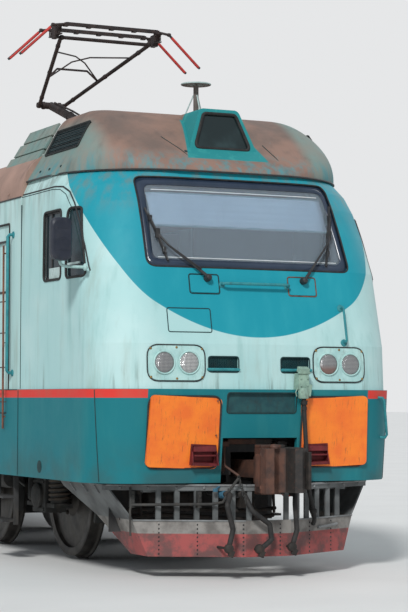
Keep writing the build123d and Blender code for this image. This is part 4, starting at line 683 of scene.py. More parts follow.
# Cab front: seam of the access hatch, grab bar, hook rail, corner rail and hand grips
apronLevels = cabForm["apron"]
frontFittings = {
    "hatch": (-0.905, -0.475, 2.245, 2.465),
    "bar": (-0.335, 0.345, 2.69),
    "hook": (0.905, 2.17, 2.50),
    "corner": (1.285, 1.275, 1.655),
    "grip": (0.225, 0.53, 1.905),
}
seams, rails = forms(2)
seams.tube(frontLine(boxLoop(*frontFittings["hatch"], 0.02)), 0.005, 6, closed=True)
seams.turned().build("cab_front_seams", "seam", slot="cab_paint")
# each rail's line is across or up, and out from the wall
low, high, z = frontFittings["bar"]
barLine = [(low, 0.0), (low, 0.045), (low + 0.02, 0.06)]
barLine += [(low + (high - low) * k / 8, 0.062) for k in range(1, 8)]
barLine += [(high - 0.02, 0.06), (high, 0.045), (high, 0.0)]
rails.tube([onFront(x, z, out) for x, out in barLine], 0.014, 10)
for x in (low, high):
    rails.lathe([(0.03, -0.004), (0.03, 0.006), (0.018, 0.012)], onFront(x, z, 0), (0, -1, 0), 14)
x, low, high = frontFittings["hook"]
top = high - 0.015
hookLine = [(high, 0.0), (high, 0.05), (top, 0.062)]
hookLine += [(top - (high - low - 0.03) * k / 8, 0.062) for k in range(1, 9)]
rails.tube([onFront(x, z, out) for z, out in hookLine + [(low, 0.05), (low, 0.0)]], 0.011, 10)
for z in (low, high):
    rails.lathe([(0.032, -0.004), (0.034, 0.008), (0.02, 0.014)], onFront(x, z, 0), (0, -1, 0.1), 14)
x, low, high = frontFittings["corner"]
cornerLine = [(x, high, 0.0), (x, high, 0.05)]
cornerLine += [(x + 0.012 * k, high - 0.03 - 0.32 * k / 6, 0.066) for k in range(7)]
cornerLine += [(x + 0.07, low, 0.05), (x + 0.07, low, 0.0)]
rails.tube([onFront(*spot, apronLevels) for spot in cornerLine], 0.013, 10)
low, high, z = frontFittings["grip"]
gripLine = [(low, -0.05)] + [(low + (high - low) * k / 6, 0.012) for k in range(7)] + [(high, -0.05)]
for side in (-1, 1):
    rails.tube([onFront(side * x, z, out) for x, out in gripLine], 0.014, 10)
rails.turned()

# Side handrails by the doors, and the thin pole behind the front ones
sideRail = {"ys": (-6.45, -5.58), "z": (1.89, 3.28), "x": 1.612, "wallX": 1.548, "bend": 0.02}
pole = {"line": [(1.60, -6.31, 1.33), (1.60, -6.305, 2.2), (1.60, -6.295, 3.18)], "clips": (1.45, 3.10)}
sideRails, rods = forms(2)
low, high = sideRail["z"]
bend = sideRail["bend"]
for side in (-1, 1):
    for y in sideRail["ys"]:
        x, wallX = side * sideRail["x"], side * sideRail["wallX"]
        sideRails.tube([(wallX, y, low), (x - side * bend, y, low), (x, y, low + bend), (x, y, (low + high) / 2),
                        (x, y, high - bend), (x - side * bend, y, high), (wallX, y, high)], 0.016, 10)
        for z in (low, high):
            sideRails.lathe([(0.034, -0.004), (0.034, 0.006), (0.022, 0.012)], (side * 1.552, y, z), (side, 0, 0), 14)
    rods.tube([(side * x, y, z) for x, y, z in pole["line"]], 0.011, 8)
    for z in pole["clips"]:
        rods.tube([(side * 1.55, -6.30, z), (side * 1.60, -6.30, z)], 0.008, 6)
sideRails.turned().build("side_handrails", "railTeal", slot="rail_paint")
rods.turned().build("pole_by_the_doors", "rust", slot="rail_paint")
railPiece = rails.build("front_handrails", "railTeal", slot="rail_paint")
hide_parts("handrails")
print("handrails done")

# Lamp plates with their black outline, screws and lenses
lamps = {
    "xs": (0.721, 0.964), "lensZ": 1.964, "plateX": 0.8425, "plateZ": 1.9605, "plate": (0.565, 0.331),
    "corner": 0.11, "line": 0.0055,
    "screws": [(-0.25, 0.13), (0, 0.142), (0.25, 0.13), (-0.25, -0.13), (0, -0.142), (0.25, -0.13)],
    "screw": [(0.011, -0.002), (0.011, 0.003), (0.005, 0.006)],
    "rim": [(0.108, 0.0), (0.110, 0.008), (0.104, 0.015), (0.096, 0.012), (0.094, 0.001)],
    "lens": [(0.097, 0.001), (0.094, 0.008), (0.075, 0.014), (0.045, 0.018), (0.015, 0.0195)],
}
plates, outlines, screws, rims, lenses = forms(5)
width, height = lamps["plate"]
for side in (-1, 1):
    x, z = side * lamps["plateX"], lamps["plateZ"]
    loop = boxLoop(x - width / 2, x + width / 2, z - height / 2, z + height / 2, lamps["corner"], 0.04)
    outlines.tube(frontLine(loop, 0.004), lamps["line"], 8, closed=True)
    inner = shrunk(loop, 0.008)
    plates.slab(frontLine(inner, 0.010), frontLine(inner, -0.006))
    for dx, dz in lamps["screws"]:
        screws.lathe(lamps["screw"], onFront(x + dx, z + dz, 0.010), (0, -1, 0.05), 10)
    for lampX in lamps["xs"]:
        centre = onFront(side * lampX, lamps["lensZ"], 0.008)
        rims.lathe(lamps["rim"], centre, (0, -1, 0.048), 36)
        lenses.lathe(lamps["lens"], centre, (0, -1, 0.048), 36)
platePiece = plates.turned().build("lamp_plate_panels", "lampPlate", slot="lamp_plate", edge=0.002)
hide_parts("lamp_plates")
outlines.turned().build("lamp_plate_outlines", "trim", slot="black_trim")
screws.turned().build("lamp_plate_screws", "brass", slot="lamp_plate")
rims.turned().build("lamp_rims", "lampPlate", slot="lamp_plate")
lensPiece = lenses.turned().build("headlamp_lenses", "lens", slot="lamp_glass", smooth=60)
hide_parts("lamps")

# Dormer in the hood: dark glass in a rubber frame, with the searchlight behind it
dormer = {
    "middle": (0, -8.05, 4.195), "slope": math.atan(120 / 510),
    "pane": [(-0.30, -0.15), (0.30, -0.15), (0.172, 0.212), (-0.172, 0.212)],
    "lamp": [(0.14, 0.0), (0.145, 0.03), (0.135, 0.04), (0.10, 0.012), (0.03, 0.004)],
}
dormerUp = Vector((0, math.sin(dormer["slope"]), math.cos(dormer["slope"])))
dormerOut = Vector((0, -dormerUp.z, dormerUp.y))


def onDormer(u, v, out):
    return Vector(dormer["middle"]) + Vector((u, 0, 0)) + dormerUp * v + dormerOut * out


paneLoop = roundCorners(dormer["pane"], 0.05, 0.05)
pane = Form().slab([onDormer(a, b, -0.012) for a, b in paneLoop], [onDormer(a, b, -0.02) for a, b in paneLoop])
pane.turned().build("dormer_glass", "dormerGlass", slot="tint_glass")
rubber = Form().tube([onDormer(a, b, 0.0) for a, b in paneLoop], 0.016, 8, closed=True)
rubber.turned().build("dormer_seal", "rubber", slot="black_trim")
searchlight = Form().lathe(dormer["lamp"], onDormer(0, 0, -0.1), dormerOut, 36)
searchlight.turned().build("searchlight", "steel", slot="lamp_glass")
print("lamps done")

# Hood: gutter along its foot, painted black as the shadow line under the hood's lip, lapped seams and rows of bolts
hoodLevels = cabForm["hood"]
hood = {
    "gutterYs": (-6.7, -6.9, -7.1, -7.25), "gutterZ": 3.79, "gutterHalf": 1.46, "gutter": 0.009,
    "boltsFront": [(-0.79, 3.86), (-0.42, 4.0), (-0.47, 3.87), (0.47, 3.9), (0.60, 3.84), (0.93, 3.83)],
    "boltsSide": (-7.5, -7.2, -6.95), "seam": 0.004,
    "seams": [[(-0.60, 4.15), (-0.47, 4.02), (-0.37, 3.88), (-0.32, 3.81)],
              [(0.47, 4.12), (0.54, 3.98), (0.59, 3.86), (0.61, 3.81)]],
}
gutter, hoodBolts, hoodSeams = forms(3)
steps, z = 44, hood["gutterZ"]
along = [(y, z) for y in hood["gutterYs"]]
front = [(hood["gutterHalf"] * (2 * k / steps - 1), z) for k in range(steps + 1)]
gutterPath = sideLine(along, -1, 0.004, hoodLevels) + frontLine(front, 0.004, hoodLevels)
# painted shadow: the gutter's black stands in for the shadow line beneath the hood
gutter.tube(gutterPath + sideLine(reversed(along), 1, 0.004, hoodLevels), hood["gutter"], 6)
gutter.turned().build("hood_gutter_shadow_lines", "trim", slot="black_trim")
for x, z in hood["boltsFront"]:
    foot, tip = onFront(x, z, 0, hoodLevels), onFront(x, z, 1, hoodLevels)
    hoodBolts.lathe([(0.016, -0.003), (0.016, 0.005), (0.007, 0.01)], foot, tip - foot, 12)
for side in (-1, 1):
    for y in hood["boltsSide"]:
        foot = onSide(y, 3.87, side, 0, hoodLevels)
        hoodBolts.lathe([(0.014, -0.003), (0.014, 0.005), (0.006, 0.009)], foot, (side, 0, 0.6), 12)
hoodBolts.turned().build("hood_bolts", "seam", slot="roof_paint")
for seam in hood["seams"]:
    hoodSeams.tube(frontLine(roundCorners(seam, 0.05, 0.03, closed=False), 0.003, hoodLevels), hood["seam"], 6)
hoodSeams.turned().build("hood_seams", "seam", slot="roof_paint")

# Grille in the hood's side: a frame and rows of slanting blades over a pocket painted near black as shade
leanRun = math.hypot(1, 0.6)


def onLean(y, z, out):
    # point on the right side's leaning plane
    return Vector((1.505 - 0.6 * (z - 3.787), y, z)) + Vector((1, 0, 0.6)) / leanRun * out


grille = {"low": 4.05, "high": 4.31, "front": -7.67, "back": -6.80, "slant": 0.065, "bars": 13, "wires": 9}
blades, rim = forms(2)
low, high = grille["low"], grille["high"]
for k in range(grille["bars"]):
    share = (k + 0.5) / grille["bars"]
    z, shift = low + (high - low) * share, grille["slant"] * share
    a, b = onLean(grille["front"] + shift, z, -0.010), onLean(grille["back"] + shift, z, -0.010)
    blades.tube([a, (a + b) / 2, b], 0.0065, 6)
for k in range(1, grille["wires"]):
    share = k / grille["wires"]
    y = grille["front"] + (grille["back"] - grille["front"]) * share
    blades.tube([onLean(y, low, -0.02), onLean(y + grille["slant"], high, -0.02)], 0.004, 6)
frameLoop = [(grille["front"], low), (grille["back"], low), (grille["back"] + grille["slant"], high),
             (grille["front"] + grille["slant"], high)]
rim.tube([onLean(a, b, 0.0) for a, b in roundCorners(frameLoop, 0.015)], 0.010, 6, closed=True)
blades.mirrored().turned().build("hood_grille_bars", "railDark", slot="screen_paint")
rim.mirrored().turned().build("hood_grille_rims", "screens", slot="screen_paint")
print("hood done")

# Orange end panels: dark gap round each, bolts, and the ledges of the maroon step boxes
panels = {
    "x": (0.42, 1.13), "z": (1.005, 1.659), "corner": 0.088, "proud": 0.016, "stepX": 0.575,
    "stepZ": (1.04, 1.23), "cheek": [(0.118, -0.002), (0.130, -0.002), (0.124, 0.12), (0.116, 0.12)],
}
gaps, panelBolts, ledges = forms(3)
(x1, x2), (z1, z2) = panels["x"], panels["z"]
boltSpots = [(x1 + 0.04, z2 - 0.04), (x2 - 0.04, z2 - 0.04), (x1 + 0.04, z1 + 0.30), (x2 - 0.04, z1 + 0.30),
             (x2 - 0.04, z1 + 0.04)]
foot, top = panels["stepZ"]
for side in (-1, 1):
    loop = boxLoop(side * x1, side * x2, z1, z2, panels["corner"])
    gaps.tube(frontLine(loop, 0.006, apronLevels), 0.009, 6, closed=True)
    for a, b in boltSpots:
        panelBolts.bolt(onFront(side * a, b, panels["proud"], apronLevels), (0, -1, -0.1), 0.010, 0.007)
    middle = side * panels["stepX"]
    ledges.block(onFront(middle, foot + 0.085, 0.045, apronLevels), (0.215, 0.03, 0.012), (0.15, 0, 0))
    ledges.block(onFront(middle, top - 0.05, 0.030, apronLevels), (0.225, 0.04, 0.05), (-0.2, 0, 0))
    for end in (-1, 1):
        cheek = [(middle + end * dx, foot + dz) for dx, dz in panels["cheek"]]
        ledges.slab([onFront(a, b, 0.085 - (b - foot) * 0.35, apronLevels) for a, b in cheek],
                    frontLine(cheek, 0.0, apronLevels))
gaps.turned().build("end_panel_gaps", "trim", slot="black_trim")
panelBolts.turned().build("end_panel_bolts", "rust", slot="orange_paint")
ledges.turned().build("step_ledges", "maroon", slot="maroon_paint", edge=0.002)

# Recesses: edges of the blank number recess and of the two handle recesses, their linings painted dark as shade, and
# grips
recess = {"number": (-0.357, 0.357, 1.505, 1.692), "handle": (0.218, 0.525, 1.881, 2.024), "edge": 0.0065,
          "gripZ": 1.905, "grip": [(0.228, -8.885), (0.37, -8.888), (0.515, -8.885)], "gripFeet": (0.235, 0.508)}
recesses, shadedLinings, grips = forms(3)
x1, x2, z1, z2 = recess["handle"]
for box, levels in ((recess["number"], apronLevels), (recess["handle"], cabForm["levels"]),
                    ((-x2, -x1, z1, z2), cabForm["levels"])):
    recesses.tube(frontLine(boxLoop(*box, 0.03), 0.0, levels), recess["edge"], 6, closed=True)
recesses.turned().build("recess_edges", "seam", slot="band_paint")
z = recess["gripZ"]
for side in (-1, 1):
    # painted shade: dark linings at the back and foot of each handle recess
    shadedLinings.block((side * 0.3715, -8.862, 1.952), (0.30, 0.006, 0.137))
    shadedLinings.block((side * 0.3715, -8.865, 1.888), (0.30, 0.06, 0.006))
    grips.tube([(side * x, y, z) for x, y in recess["grip"]], 0.013, 8)
    for x in recess["gripFeet"]:
        grips.tube([(side * x, -8.885, z), (side * x, -8.868, z)], 0.009, 6)
# the number recess's back panel, dark teal darkened as painted shade
shadedLinings.block((0, -8.915, 1.598), (0.70, 0.004, 0.178))
shadedLinings.turned().build("shaded_recess_linings", "recess", slot="cab_paint")
grips.turned().build("recess_grips", "railPale", slot="rail_paint")
print("panels done")

# Jumper socket with its hinged lid, and the cable down to its rest on the plough
jumper = {
    "x": 0.40, "cable": 0.021,
    "route": [(0.40, -9.0, 1.70), (0.405, -9.008, 1.45), (0.42, -9.012, 1.15), (0.428, -9.012, 0.95),
              (0.455, -9.008, 0.78), (0.50, -9.0, 0.63), (0.52, -8.985, 0.52), (0.52, -8.955, 0.475)],
    "collars": [(0.402, -9.003, 1.60, 0.031), (0.402, -9.003, 1.55, 0.027), (0.508, -8.998, 0.60, 0.03)],
}


def smoothPath(points, parts=8):
    # a Catmull-Rom line through the points
    points = [Vector(point) for point in points]
    line = []
    for i in range(len(points) - 1):
        p0, p1, p2, p3 = points[max(i - 1, 0)], points[i], points[i + 1], points[min(i + 2, len(points) - 1)]
        for k in range(parts):
            t = k / parts
            line.append(0.5 * (2 * p1 + (p2 - p0) * t + (2 * p0 - 5 * p1 + 4 * p2 - p3) * t * t
                               + (3 * p1 - p0 - 3 * p2 + p3) * t ** 3))
    return line + [points[-1]]


cable, socket = forms(2)
x, radius = jumper["x"], jumper["cable"]
cable.tube(smoothPath(jumper["route"]), radius, 12)
for *spot, wide in jumper["collars"]:
    cable.lathe([(radius, -0.02), (wide, -0.015), (wide, 0.015), (radius, 0.02)], spot, (0, 0, 1), 12)
cablePiece = cable.turned().build("jumper_leads", "rubber", slot="rubber")
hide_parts("jumper_cables")
socket.block((x, -8.955, 1.80), (0.115, 0.11, 0.155), taper=(0.9, 0.85))
socket.block((x, -8.99, 1.905), (0.10, 0.07, 0.05), (0.35, 0, 0))
socket.lathe([(0.045, -0.06), (0.052, -0.05), (0.052, 0.02), (0.043, 0.04)], (x, -8.995, 1.70), (0, 0, 1), 16)
socket.block((x + 0.045, -8.99, 1.72), (0.06, 0.05, 0.11), (0, 0.15, 0))
for dx in (-0.05, 0.05):
    socket.lathe([(0.012, -0.012), (0.014, 0), (0.012, 0.012)], (x + dx, -9.005, 1.88), (1, 0, 0), 12)
    for z in (1.83, 1.76):
        socket.bolt((x + dx * 0.7, -9.012, z), (0, -1, 0), 0.010, 0.008)
socket.tube([(x - 0.06, -8.99, 1.74), (x - 0.085, -9.0, 1.70), (x - 0.075, -9.0, 1.66)], 0.006, 6)
socket.turned().build("jumper_sockets", "socketPaint", slot="cab_paint", edge=0.004)
print("jumper done")

# Coupler: pocket liner, wear plates, lock, pins, hanging lever and its chain
coupler = {
    "claw": [(0.06, -9.02), (0.17, -9.02), (0.235, -9.12), (0.245, -9.30), (0.20, -9.36), (0.13, -9.30),
             (0.06, -9.20)],
    "clawZ": (1.196, 1.186), "link": (-0.33, -9.12, 0.92), "links": 7,
    "lever": [(-1.17, -8.62, 0.67), (-0.85, -8.79, 0.675), (-0.52, -8.96, 0.68), (-0.44, -9.02, 0.70),
              (-0.40, -9.06, 0.80), (-0.33, -9.12, 0.92)],
    "handle": [(-1.18, -8.61, 0.83), (-1.175, -8.62, 0.66), (-1.19, -8.63, 0.62), (-1.18, -8.62, 0.39)],
}
castings, levers, darkCasting = forms(3)
for z in (1.205, 0.785):
    castings.block((-0.02, -9.13, z), (0.24, 0.14, 0.03))
castings.block((-0.165, -9.30, 0.99), (0.05, 0.20, 0.30), (0, 0, 0.18))
for z in (0.84, 1.14):
    castings.lathe([(0.03, -0.012), (0.034, 0), (0.024, 0.014)], (-0.19, -9.33, z), (-0.3, -1, 0), 12)
castings.lathe([(0.042, -0.01), (0.045, 0.01), (0.03, 0.03), (0.012, 0.034)], (-0.04, -9.26, 1.195), sides=16)
for x in (-0.30, 0.30):
    castings.block((x, -8.66, 1.10), (0.07, 0.10, 0.26), (0.1, 0, 0)).block((x, -8.72, 1.22), (0.10, 0.08, 0.05))
for x in (-0.34, -0.26, 0.26, 0.34):
    for z in (0.96, 1.04, 1.24):
        castings.bolt((x, -8.62, z), (0, -1, 0), 0.018, 0.02)
castings.block((0, -8.66, 1.24), (0.46, 0.05, 0.05))
for side in (-1, 1):
    castings.tube([(side * 0.30, -8.74, 1.20), (side * 0.30, -8.76, 1.02), (side * 0.22, -8.90, 0.93)], 0.014, 8)
darkCasting.block((0.215, -9.33, 0.99), (0.03, 0.24, 0.34), (0, 0, 0.10))
darkCasting.slab(*([Vector((x, y, z)) for x, y in coupler["claw"]] for z in coupler["clawZ"]))
darkCasting.turned().build("coupler_claw_plates", "castIron", slot="coupler_steel", edge=0.006)
castings.turned().build("coupler_castings", "coupler", slot="coupler_steel", edge=0.005)
levers.tube(coupler["lever"], 0.013, 8).tube(coupler["handle"], 0.011, 8)
for x, y in ((-1.16, -8.60), (-0.62, -8.885)):
    levers.block((x, y, 0.72), (0.035, 0.05, 0.15)).bolt((x, y - 0.025, 0.75), (0, -1, 0), 0.014, 0.01)
for k in range(coupler["links"]):
    turn = (k % 2) * math.pi / 2
    centre = Vector(coupler["link"]) + Vector((0.012 * k, -0.002 * k, -0.036 * k))
    link = [Vector((0.012 * a * math.cos(turn), 0.012 * a * math.sin(turn), 0.023 * b)) for a, b in circle(12, 1)]
    levers.tube([centre + point for point in link], 0.004, 6, closed=True)
levers.turned().build("uncoupling_gear", "bogie", slot="bogie_steel")

# Behind the plough: air pipes, an air tank, brackets and a dark splash sheet
behind = {
    "y": -8.30, "sheet": (-1.22, 0.44, 0.40, 0.93), "waves": 40, "tank": (-0.92, -0.36, 0.70, 0.115),
    "pipes": [(0.60, -8.44, 0.02), (0.53, -8.40, 0.03), (0.82, -8.46, 0.012)],
    "drops": (-1.02, -0.18, 0.14, 0.36), "coil": (-0.24, -8.55, 0.62, 0.045),
}
pipes, sheet = forms(2)
x1, x2, z1, z2 = behind["sheet"]
waves, backY = behind["waves"], behind["y"]
corrugated = [(x1 + (x2 - x1) * k / waves, backY + 0.10 + 0.012 * math.sin(k * 1.3)) for k in range(waves + 1)]
for near in (0.0, 0.006):
    sheet.points += [Vector((x, y + near, z)) for z in (z1, z2) for x, y in corrugated]
line = waves + 1
for k in range(waves):
    sheet.faces += [[a + k, a + k + 1, b + k + 1, b + k]
                    for a, b in ((0, line), (3 * line, 2 * line), (2 * line, 0), (line, 3 * line))]
sheet.faces += [[0, line, 3 * line, 2 * line], [waves, line + waves, 3 * line + waves, 2 * line + waves]]
a, b, z, radius = behind["tank"]
length = b - a
pipes.lathe([(radius * 0.3, 0), (radius * 0.8, 0.015), (radius, 0.05), (radius, length - 0.05),
             (radius * 0.8, length - 0.015), (radius * 0.3, length)], (a, backY, z), (1, 0, 0), 28)
strap = [(radius + 0.001, -0.02), (radius + 0.008, -0.018), (radius + 0.008, 0.018), (radius + 0.001, 0.02)]
for x in (a + 0.12, b - 0.12):
    pipes.lathe(strap, (x, backY, z), (1, 0, 0), 28).block((x, backY + 0.02, z + 0.17), (0.04, 0.05, 0.13))
for z, y, wave in behind["pipes"]:
    pipes.tube(smoothPath([(-1.15, y + 0.12, z), (-0.8, y, z + wave), (-0.3, y - 0.02, z), (0.1, y, z - wave),
                           (0.42, y + 0.05, z)], 6), 0.019, 10)
for x in behind["drops"]:
    pipes.tube([(x, -8.50, 0.93), (x, -8.46, 0.78), (x + 0.03, -8.42, 0.56)], 0.015, 8)
    pipes.lathe([(0.03, -0.02), (0.034, 0), (0.03, 0.02)], (x, -8.46, 0.78), (0, 0, 1), 14)
x, y, z, radius = behind["coil"]
coil = [(x + radius * math.cos(k * 0.6), y + radius * math.sin(k * 0.6), z + 0.0022 * k) for k in range(110)]
pipes.tube(coil, 0.010, 6).block((0.02, -8.52, 0.70), (0.12, 0.08, 0.16), (0.2, 0, 0))
pipes.turned().build("pipes_behind_plough", "castIron", slot="frame_paint", edge=0.002)
sheet.turned().build("splash_sheets", "under", slot="frame_paint")
print("behind the plough done")

# Brake hoses: crimped sleeves, coupling heads and the coloured end cocks
hoses = {
    # finish, cock and hose end
    "rows": [("bluePaint", -0.40, -0.457, 0.29), ("trim", -0.26, -0.15, 0.28), ("redPaint", 0.265, 0.184, 0.29)],
    "z": 0.77, "headY": -9.17, "cockY": -8.93,
    "crimp": [(0.026, -0.01), (0.031, -0.006), (0.031, 0.006), (0.026, 0.01)],
    "head": [(0.03, -0.03), (0.042, -0.02), (0.046, 0.0), (0.040, 0.02), (0.02, 0.03)],
    "body": [(0.03, -0.05), (0.042, -0.04), (0.042, 0.0), (0.034, 0.012), (0.034, 0.045), (0.028, 0.055)],
    "cap": [(0.022, 0), (0.028, 0.012), (0.028, 0.045), (0.012, 0.055)],
}
sleeves = Form()
z, headY, cockY = hoses["z"], hoses["headY"], hoses["cockY"]
for number, (finish, x, endX, endZ) in enumerate(hoses["rows"], 1):
    for y in (-9.02, -9.045):
        sleeves.lathe(hoses["crimp"], (x, y, z), (0, -1, 0), 16)
    sleeves.lathe(hoses["head"], (endX, headY - 0.012, endZ), (0, -1, 0), 18)
    sleeves.block((endX + 0.02, headY - 0.02, endZ - 0.045), (0.05, 0.03, 0.06), (0, 0.4, 0))
    cock = Form().lathe(hoses["body"], (x, cockY, z), (0, -1, 0), 18)
    cock.lathe(hoses["cap"], (x, cockY, z + 0.02), (0, 0, 1), 14)
    cock.tube([(x, cockY, z + 0.072), (x - 0.03, -8.95, z + 0.076), (x - 0.095, -8.98, z + 0.045)], 0.010, 8)
    cock.block((x - 0.10, -8.985, z + 0.038), (0.04, 0.02, 0.03))
    cock.turned().build(f"end_cock_{number}", finish, slot="rubber", edge=0.002)
sleeves.turned().build("hose_fittings", "castIron", slot="coupler_steel", edge=0.002)
print("coupler and hoses done")
# Plough: rows of rivets, top flange, stiffeners and the torn lower edge strip
plough = {
    "slope": 0.535, "flat": 0.23, "nose": -9.07, "lean": 0.47, "rivetX": (-0.93, -0.62, -0.25, 0.12, 0.50, 0.82),
    "edges": [(1.365, 0.004, 0.848, 0.010), (1.145, 0.003, 0.527, 0.008)], "braceY": (-8.2, -7.9, -7.6),
    "handle": [(0.62, 0.012, 0.44), (0.70, 0.03, 0.445), (0.85, 0.03, 0.455), (0.90, 0.012, 0.46)],
}


def ploughY(x):
    return plough["nose"] + plough["slope"] * max(0, abs(x) - plough["flat"])


rivets, ribs = forms(2)
flat, lean = plough["flat"], plough["lean"]
for x in plough["rivetX"]:
    way = (lean if x < -0.3 else -lean if x > 0.3 else 0, -1, 0)
    for z in (0.225 + 0.038 * k for k in range(8)):
        rivets.lathe([(0.009, -0.002), (0.008, 0.003), (0.004, 0.005)], (x, ploughY(x), z), way, 8)
for side in (-1, 1):
    for share in (0.1, 0.3, 0.5, 0.7, 0.9):
        x = side * (flat + (1.36 - flat) * share)
        ribs.bolt((x, ploughY(x) - 0.001, 0.825), (side * -lean, -1, 0), 0.014, 0.012)
    for far, out, z, radius in plough["edges"]:
        a, b = (Vector((side * x, ploughY(x) - out, z)) for x in (flat, far))
        ribs.tube([a, (a + b) / 2, b], radius, 6)
    for y in plough["braceY"]:
        ribs.block((side * 1.335, y, 0.80), (0.03, 0.012, 0.09), (0, side * 0.6, 0))
ribs.tube([(x, plough["nose"] - 0.004, 0.848) for x in (-flat, 0, flat)], 0.010, 6)
ribs.tube([(x, ploughY(x) - out, z) for x, out, z in plough["handle"]], 0.014, 8)
rivets.turned().build("plough_rivets", "trim", slot="plough_paint")
ribs.turned().build("plough_ribs", "grey", slot="plough_paint")
print("plough done")

# Cab side: the panel's double rim line, seams, window rubbers, frames and glass bars
cabSide = {
    # distances back from the nose
    "windowZ": (2.765, 3.425), "quarter": (0.555, 0.99, 0.265), "slider": (1.12, 1.58), "seamY": 2.215,
    "rim": [(0.52, 2.81), (0.65, 3.05), (0.79, 3.28), (0.92, 3.47), (1.05, 3.59), (1.17, 3.645), (1.34, 3.66),
            (2.21, 3.66)],
    "apronZ": (0.88, 1.2, 1.5, 1.715),
}
rims, sideSeams, seals, sliders, sills = forms(5)
nose = loco["noseY"]
low, high = cabSide["windowZ"]
q1, q2, slant = cabSide["quarter"]
s1, s2 = cabSide["slider"]
rimPath = roundCorners([(nose + y, z) for y, z in cabSide["rim"]], 0.06, 0.05, closed=False)
for side in (-1, 1):
    rims.tube(sideLine(rimPath, side, 0.002), 0.008, 6)
    rims.tube([(side * 1.552, nose + y, 3.645) for y in (2.23, 2.7, 3.2, 3.6)], 0.008, 6)
    sideSeams.tube(sideLine([(y + 0.045, z - 0.022) for y, z in rimPath], side), 0.004, 6)
    for pane in ([(q1, low), (q2, low), (q2, high), (q1 + slant, high)],
                 [(s1, low), (s2, low), (s2, high), (s1, high)]):
        loop = roundCorners([(nose + y, z) for y, z in pane], 0.055, 0.05)
        seals.tube(sideLine(loop, side), 0.013, 8, closed=True)
    # the sliding pane's frame and the pale bar at its lower edge
    loop = boxLoop(nose + s1 + 0.02, nose + s2 - 0.02, low + 0.02, high - 0.02, 0.03)
    sliders.tube(sideLine(loop, side, -0.022), 0.012, 6, closed=True)
    sills.block(onSide(nose + (s1 + s2) / 2 - 0.05, low + 0.065, side, -0.012), (0.012, s2 - s1 - 0.16, 0.10))
    sills.block(onSide(nose + q1 + 0.27, low + 0.13, side, -0.012), (0.012, 0.30, 0.02))
    sliders.block(onSide(nose + s1 + 0.27, (low + high) / 2, side, -0.014), (0.014, 0.022, high - low - 0.04))
    sideSeams.tube([(side * 1.5505, nose + cabSide["seamY"], z) for z in (1.73, 2.4, 3.0, 3.56)], 0.005, 6)
    sideSeams.tube(sideLine([(nose + 0.31, z) for z in cabSide["apronZ"]], side, 0.0, apronLevels), 0.005, 6)
    sideSeams.tube([(side * 1.5725, nose + cabSide["seamY"], z) for z in cabSide["apronZ"]], 0.005, 6)
rims.turned().build("cab_side_rims", "trim", slot="black_trim")
sideSeams.turned().build("cab_side_seams", "seam", slot="cab_paint")
seals.turned().build("side_window_seals", "rubber", slot="black_trim")
sills.turned().build("side_window_sills", "pale", slot="side_paint")
sliders.turned().build("side_window_frames", "trim", slot="side_paint")

# Mirror: shell with a rim, back ribs, clamps and the bent tube
mirror = {
    "place": (-1.81, -8.445, 3.085), "half": (0.10, 0.045, 0.20),
    # depth as a share of half, and size of the outline there
    "rows": [(-1, 0.86), (-0.8, 0.97), (0.0, 1.0), (0.7, 0.97), (0.98, 0.93)],
    "tube": [(-1.53, -8.41, 2.838), (-1.66, -8.402, 2.838), (-1.765, -8.40, 2.845), (-1.80, -8.40, 2.885),
             (-1.80, -8.40, 3.0), (-1.80, -8.40, 3.236)],
}
shell, stalk = forms(2)
cx, cy, cz = mirror["place"]
hx, hy, hz = mirror["half"]
rows = []
for share, grow in mirror["rows"]:
    loop = boxLoop(cx - hx * grow, cx + hx * grow, cz - hz * grow, cz + hz * grow, 0.07, 0.5)
    rows.append([Vector((x, cy + hy * share, z)) for x, z in loop])
for a, b in zip(rows, rows[1:]):
    shell.band(a, b)
for row in (rows[0], rows[-1]):
    shell.put(row, [list(range(len(row)))])
for z in (cz - 0.10, cz, cz + 0.10):
    shell.block((cx, cy - hy - 0.0005, z), (0.11, 0.006, 0.012))
stalk.tube(smoothPath(mirror["tube"], 5), 0.014, 10)
for z in (3.03, 3.19):
    stalk.lathe([(0.016, -0.02), (0.022, -0.016), (0.022, 0.016), (0.016, 0.02)], (-1.80, -8.40, z), (0, 0, 1), 12)
    stalk.tube([(-1.80, -8.40, z), (-1.855, -8.405, z - 0.01), (-1.86, -8.41, z - 0.05)], 0.008, 6)
stalk.lathe([(0.034, 0), (0.034, 0.008), (0.02, 0.02)], (-1.552, -8.41, 2.838), (-1, 0, 0), 14)
shellPiece = shell.turned().build("mirror_shells", "mirrorShell", slot="black_trim", edge=0.004)
stalk.turned().build("mirror_stalks", "railPale", slot="rail_paint")
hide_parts("mirrors")
print("cab sides done")

# Springs: coils round the drums beside every axlebox, seats, and the hydraulic dampers
springs = {
    "x": 1.085, "reach": 0.29, "low": 0.585, "high": 0.90, "radius": 0.101, "wire": 0.016, "turns": 6, "steps": 14,
}
bogieGear = {
    "axles": (-2.3, 0.0, 2.3), "boltRing": 0.105, "flangeZ": (0.955, 1.082), "gussets": 13, "brakes": (-1.15, 1.15),
    "cap": [(0.128, 0.0), (0.128, 0.02), (0.105, 0.035), (0.05, 0.042)],
    "brake": [(0.05, -0.16), (0.11, -0.15), (0.12, 0.0), (0.12, 0.10), (0.09, 0.13)],
    "pipe": [(1.168, -2.95, 1.0), (1.17, -2.2, 0.985), (1.17, -1.0, 1.0), (1.17, 0.6, 0.985), (1.17, 2.9, 1.0)],
}
axleZ, wire = loco["axleZ"], springs["wire"]
low, high = springs["low"], springs["high"]
count = springs["turns"] * springs["steps"]
seat = [(0.06, -0.01), (0.101 * 1.22, -0.008), (0.101 * 1.22, 0.008), (0.06, 0.01)]
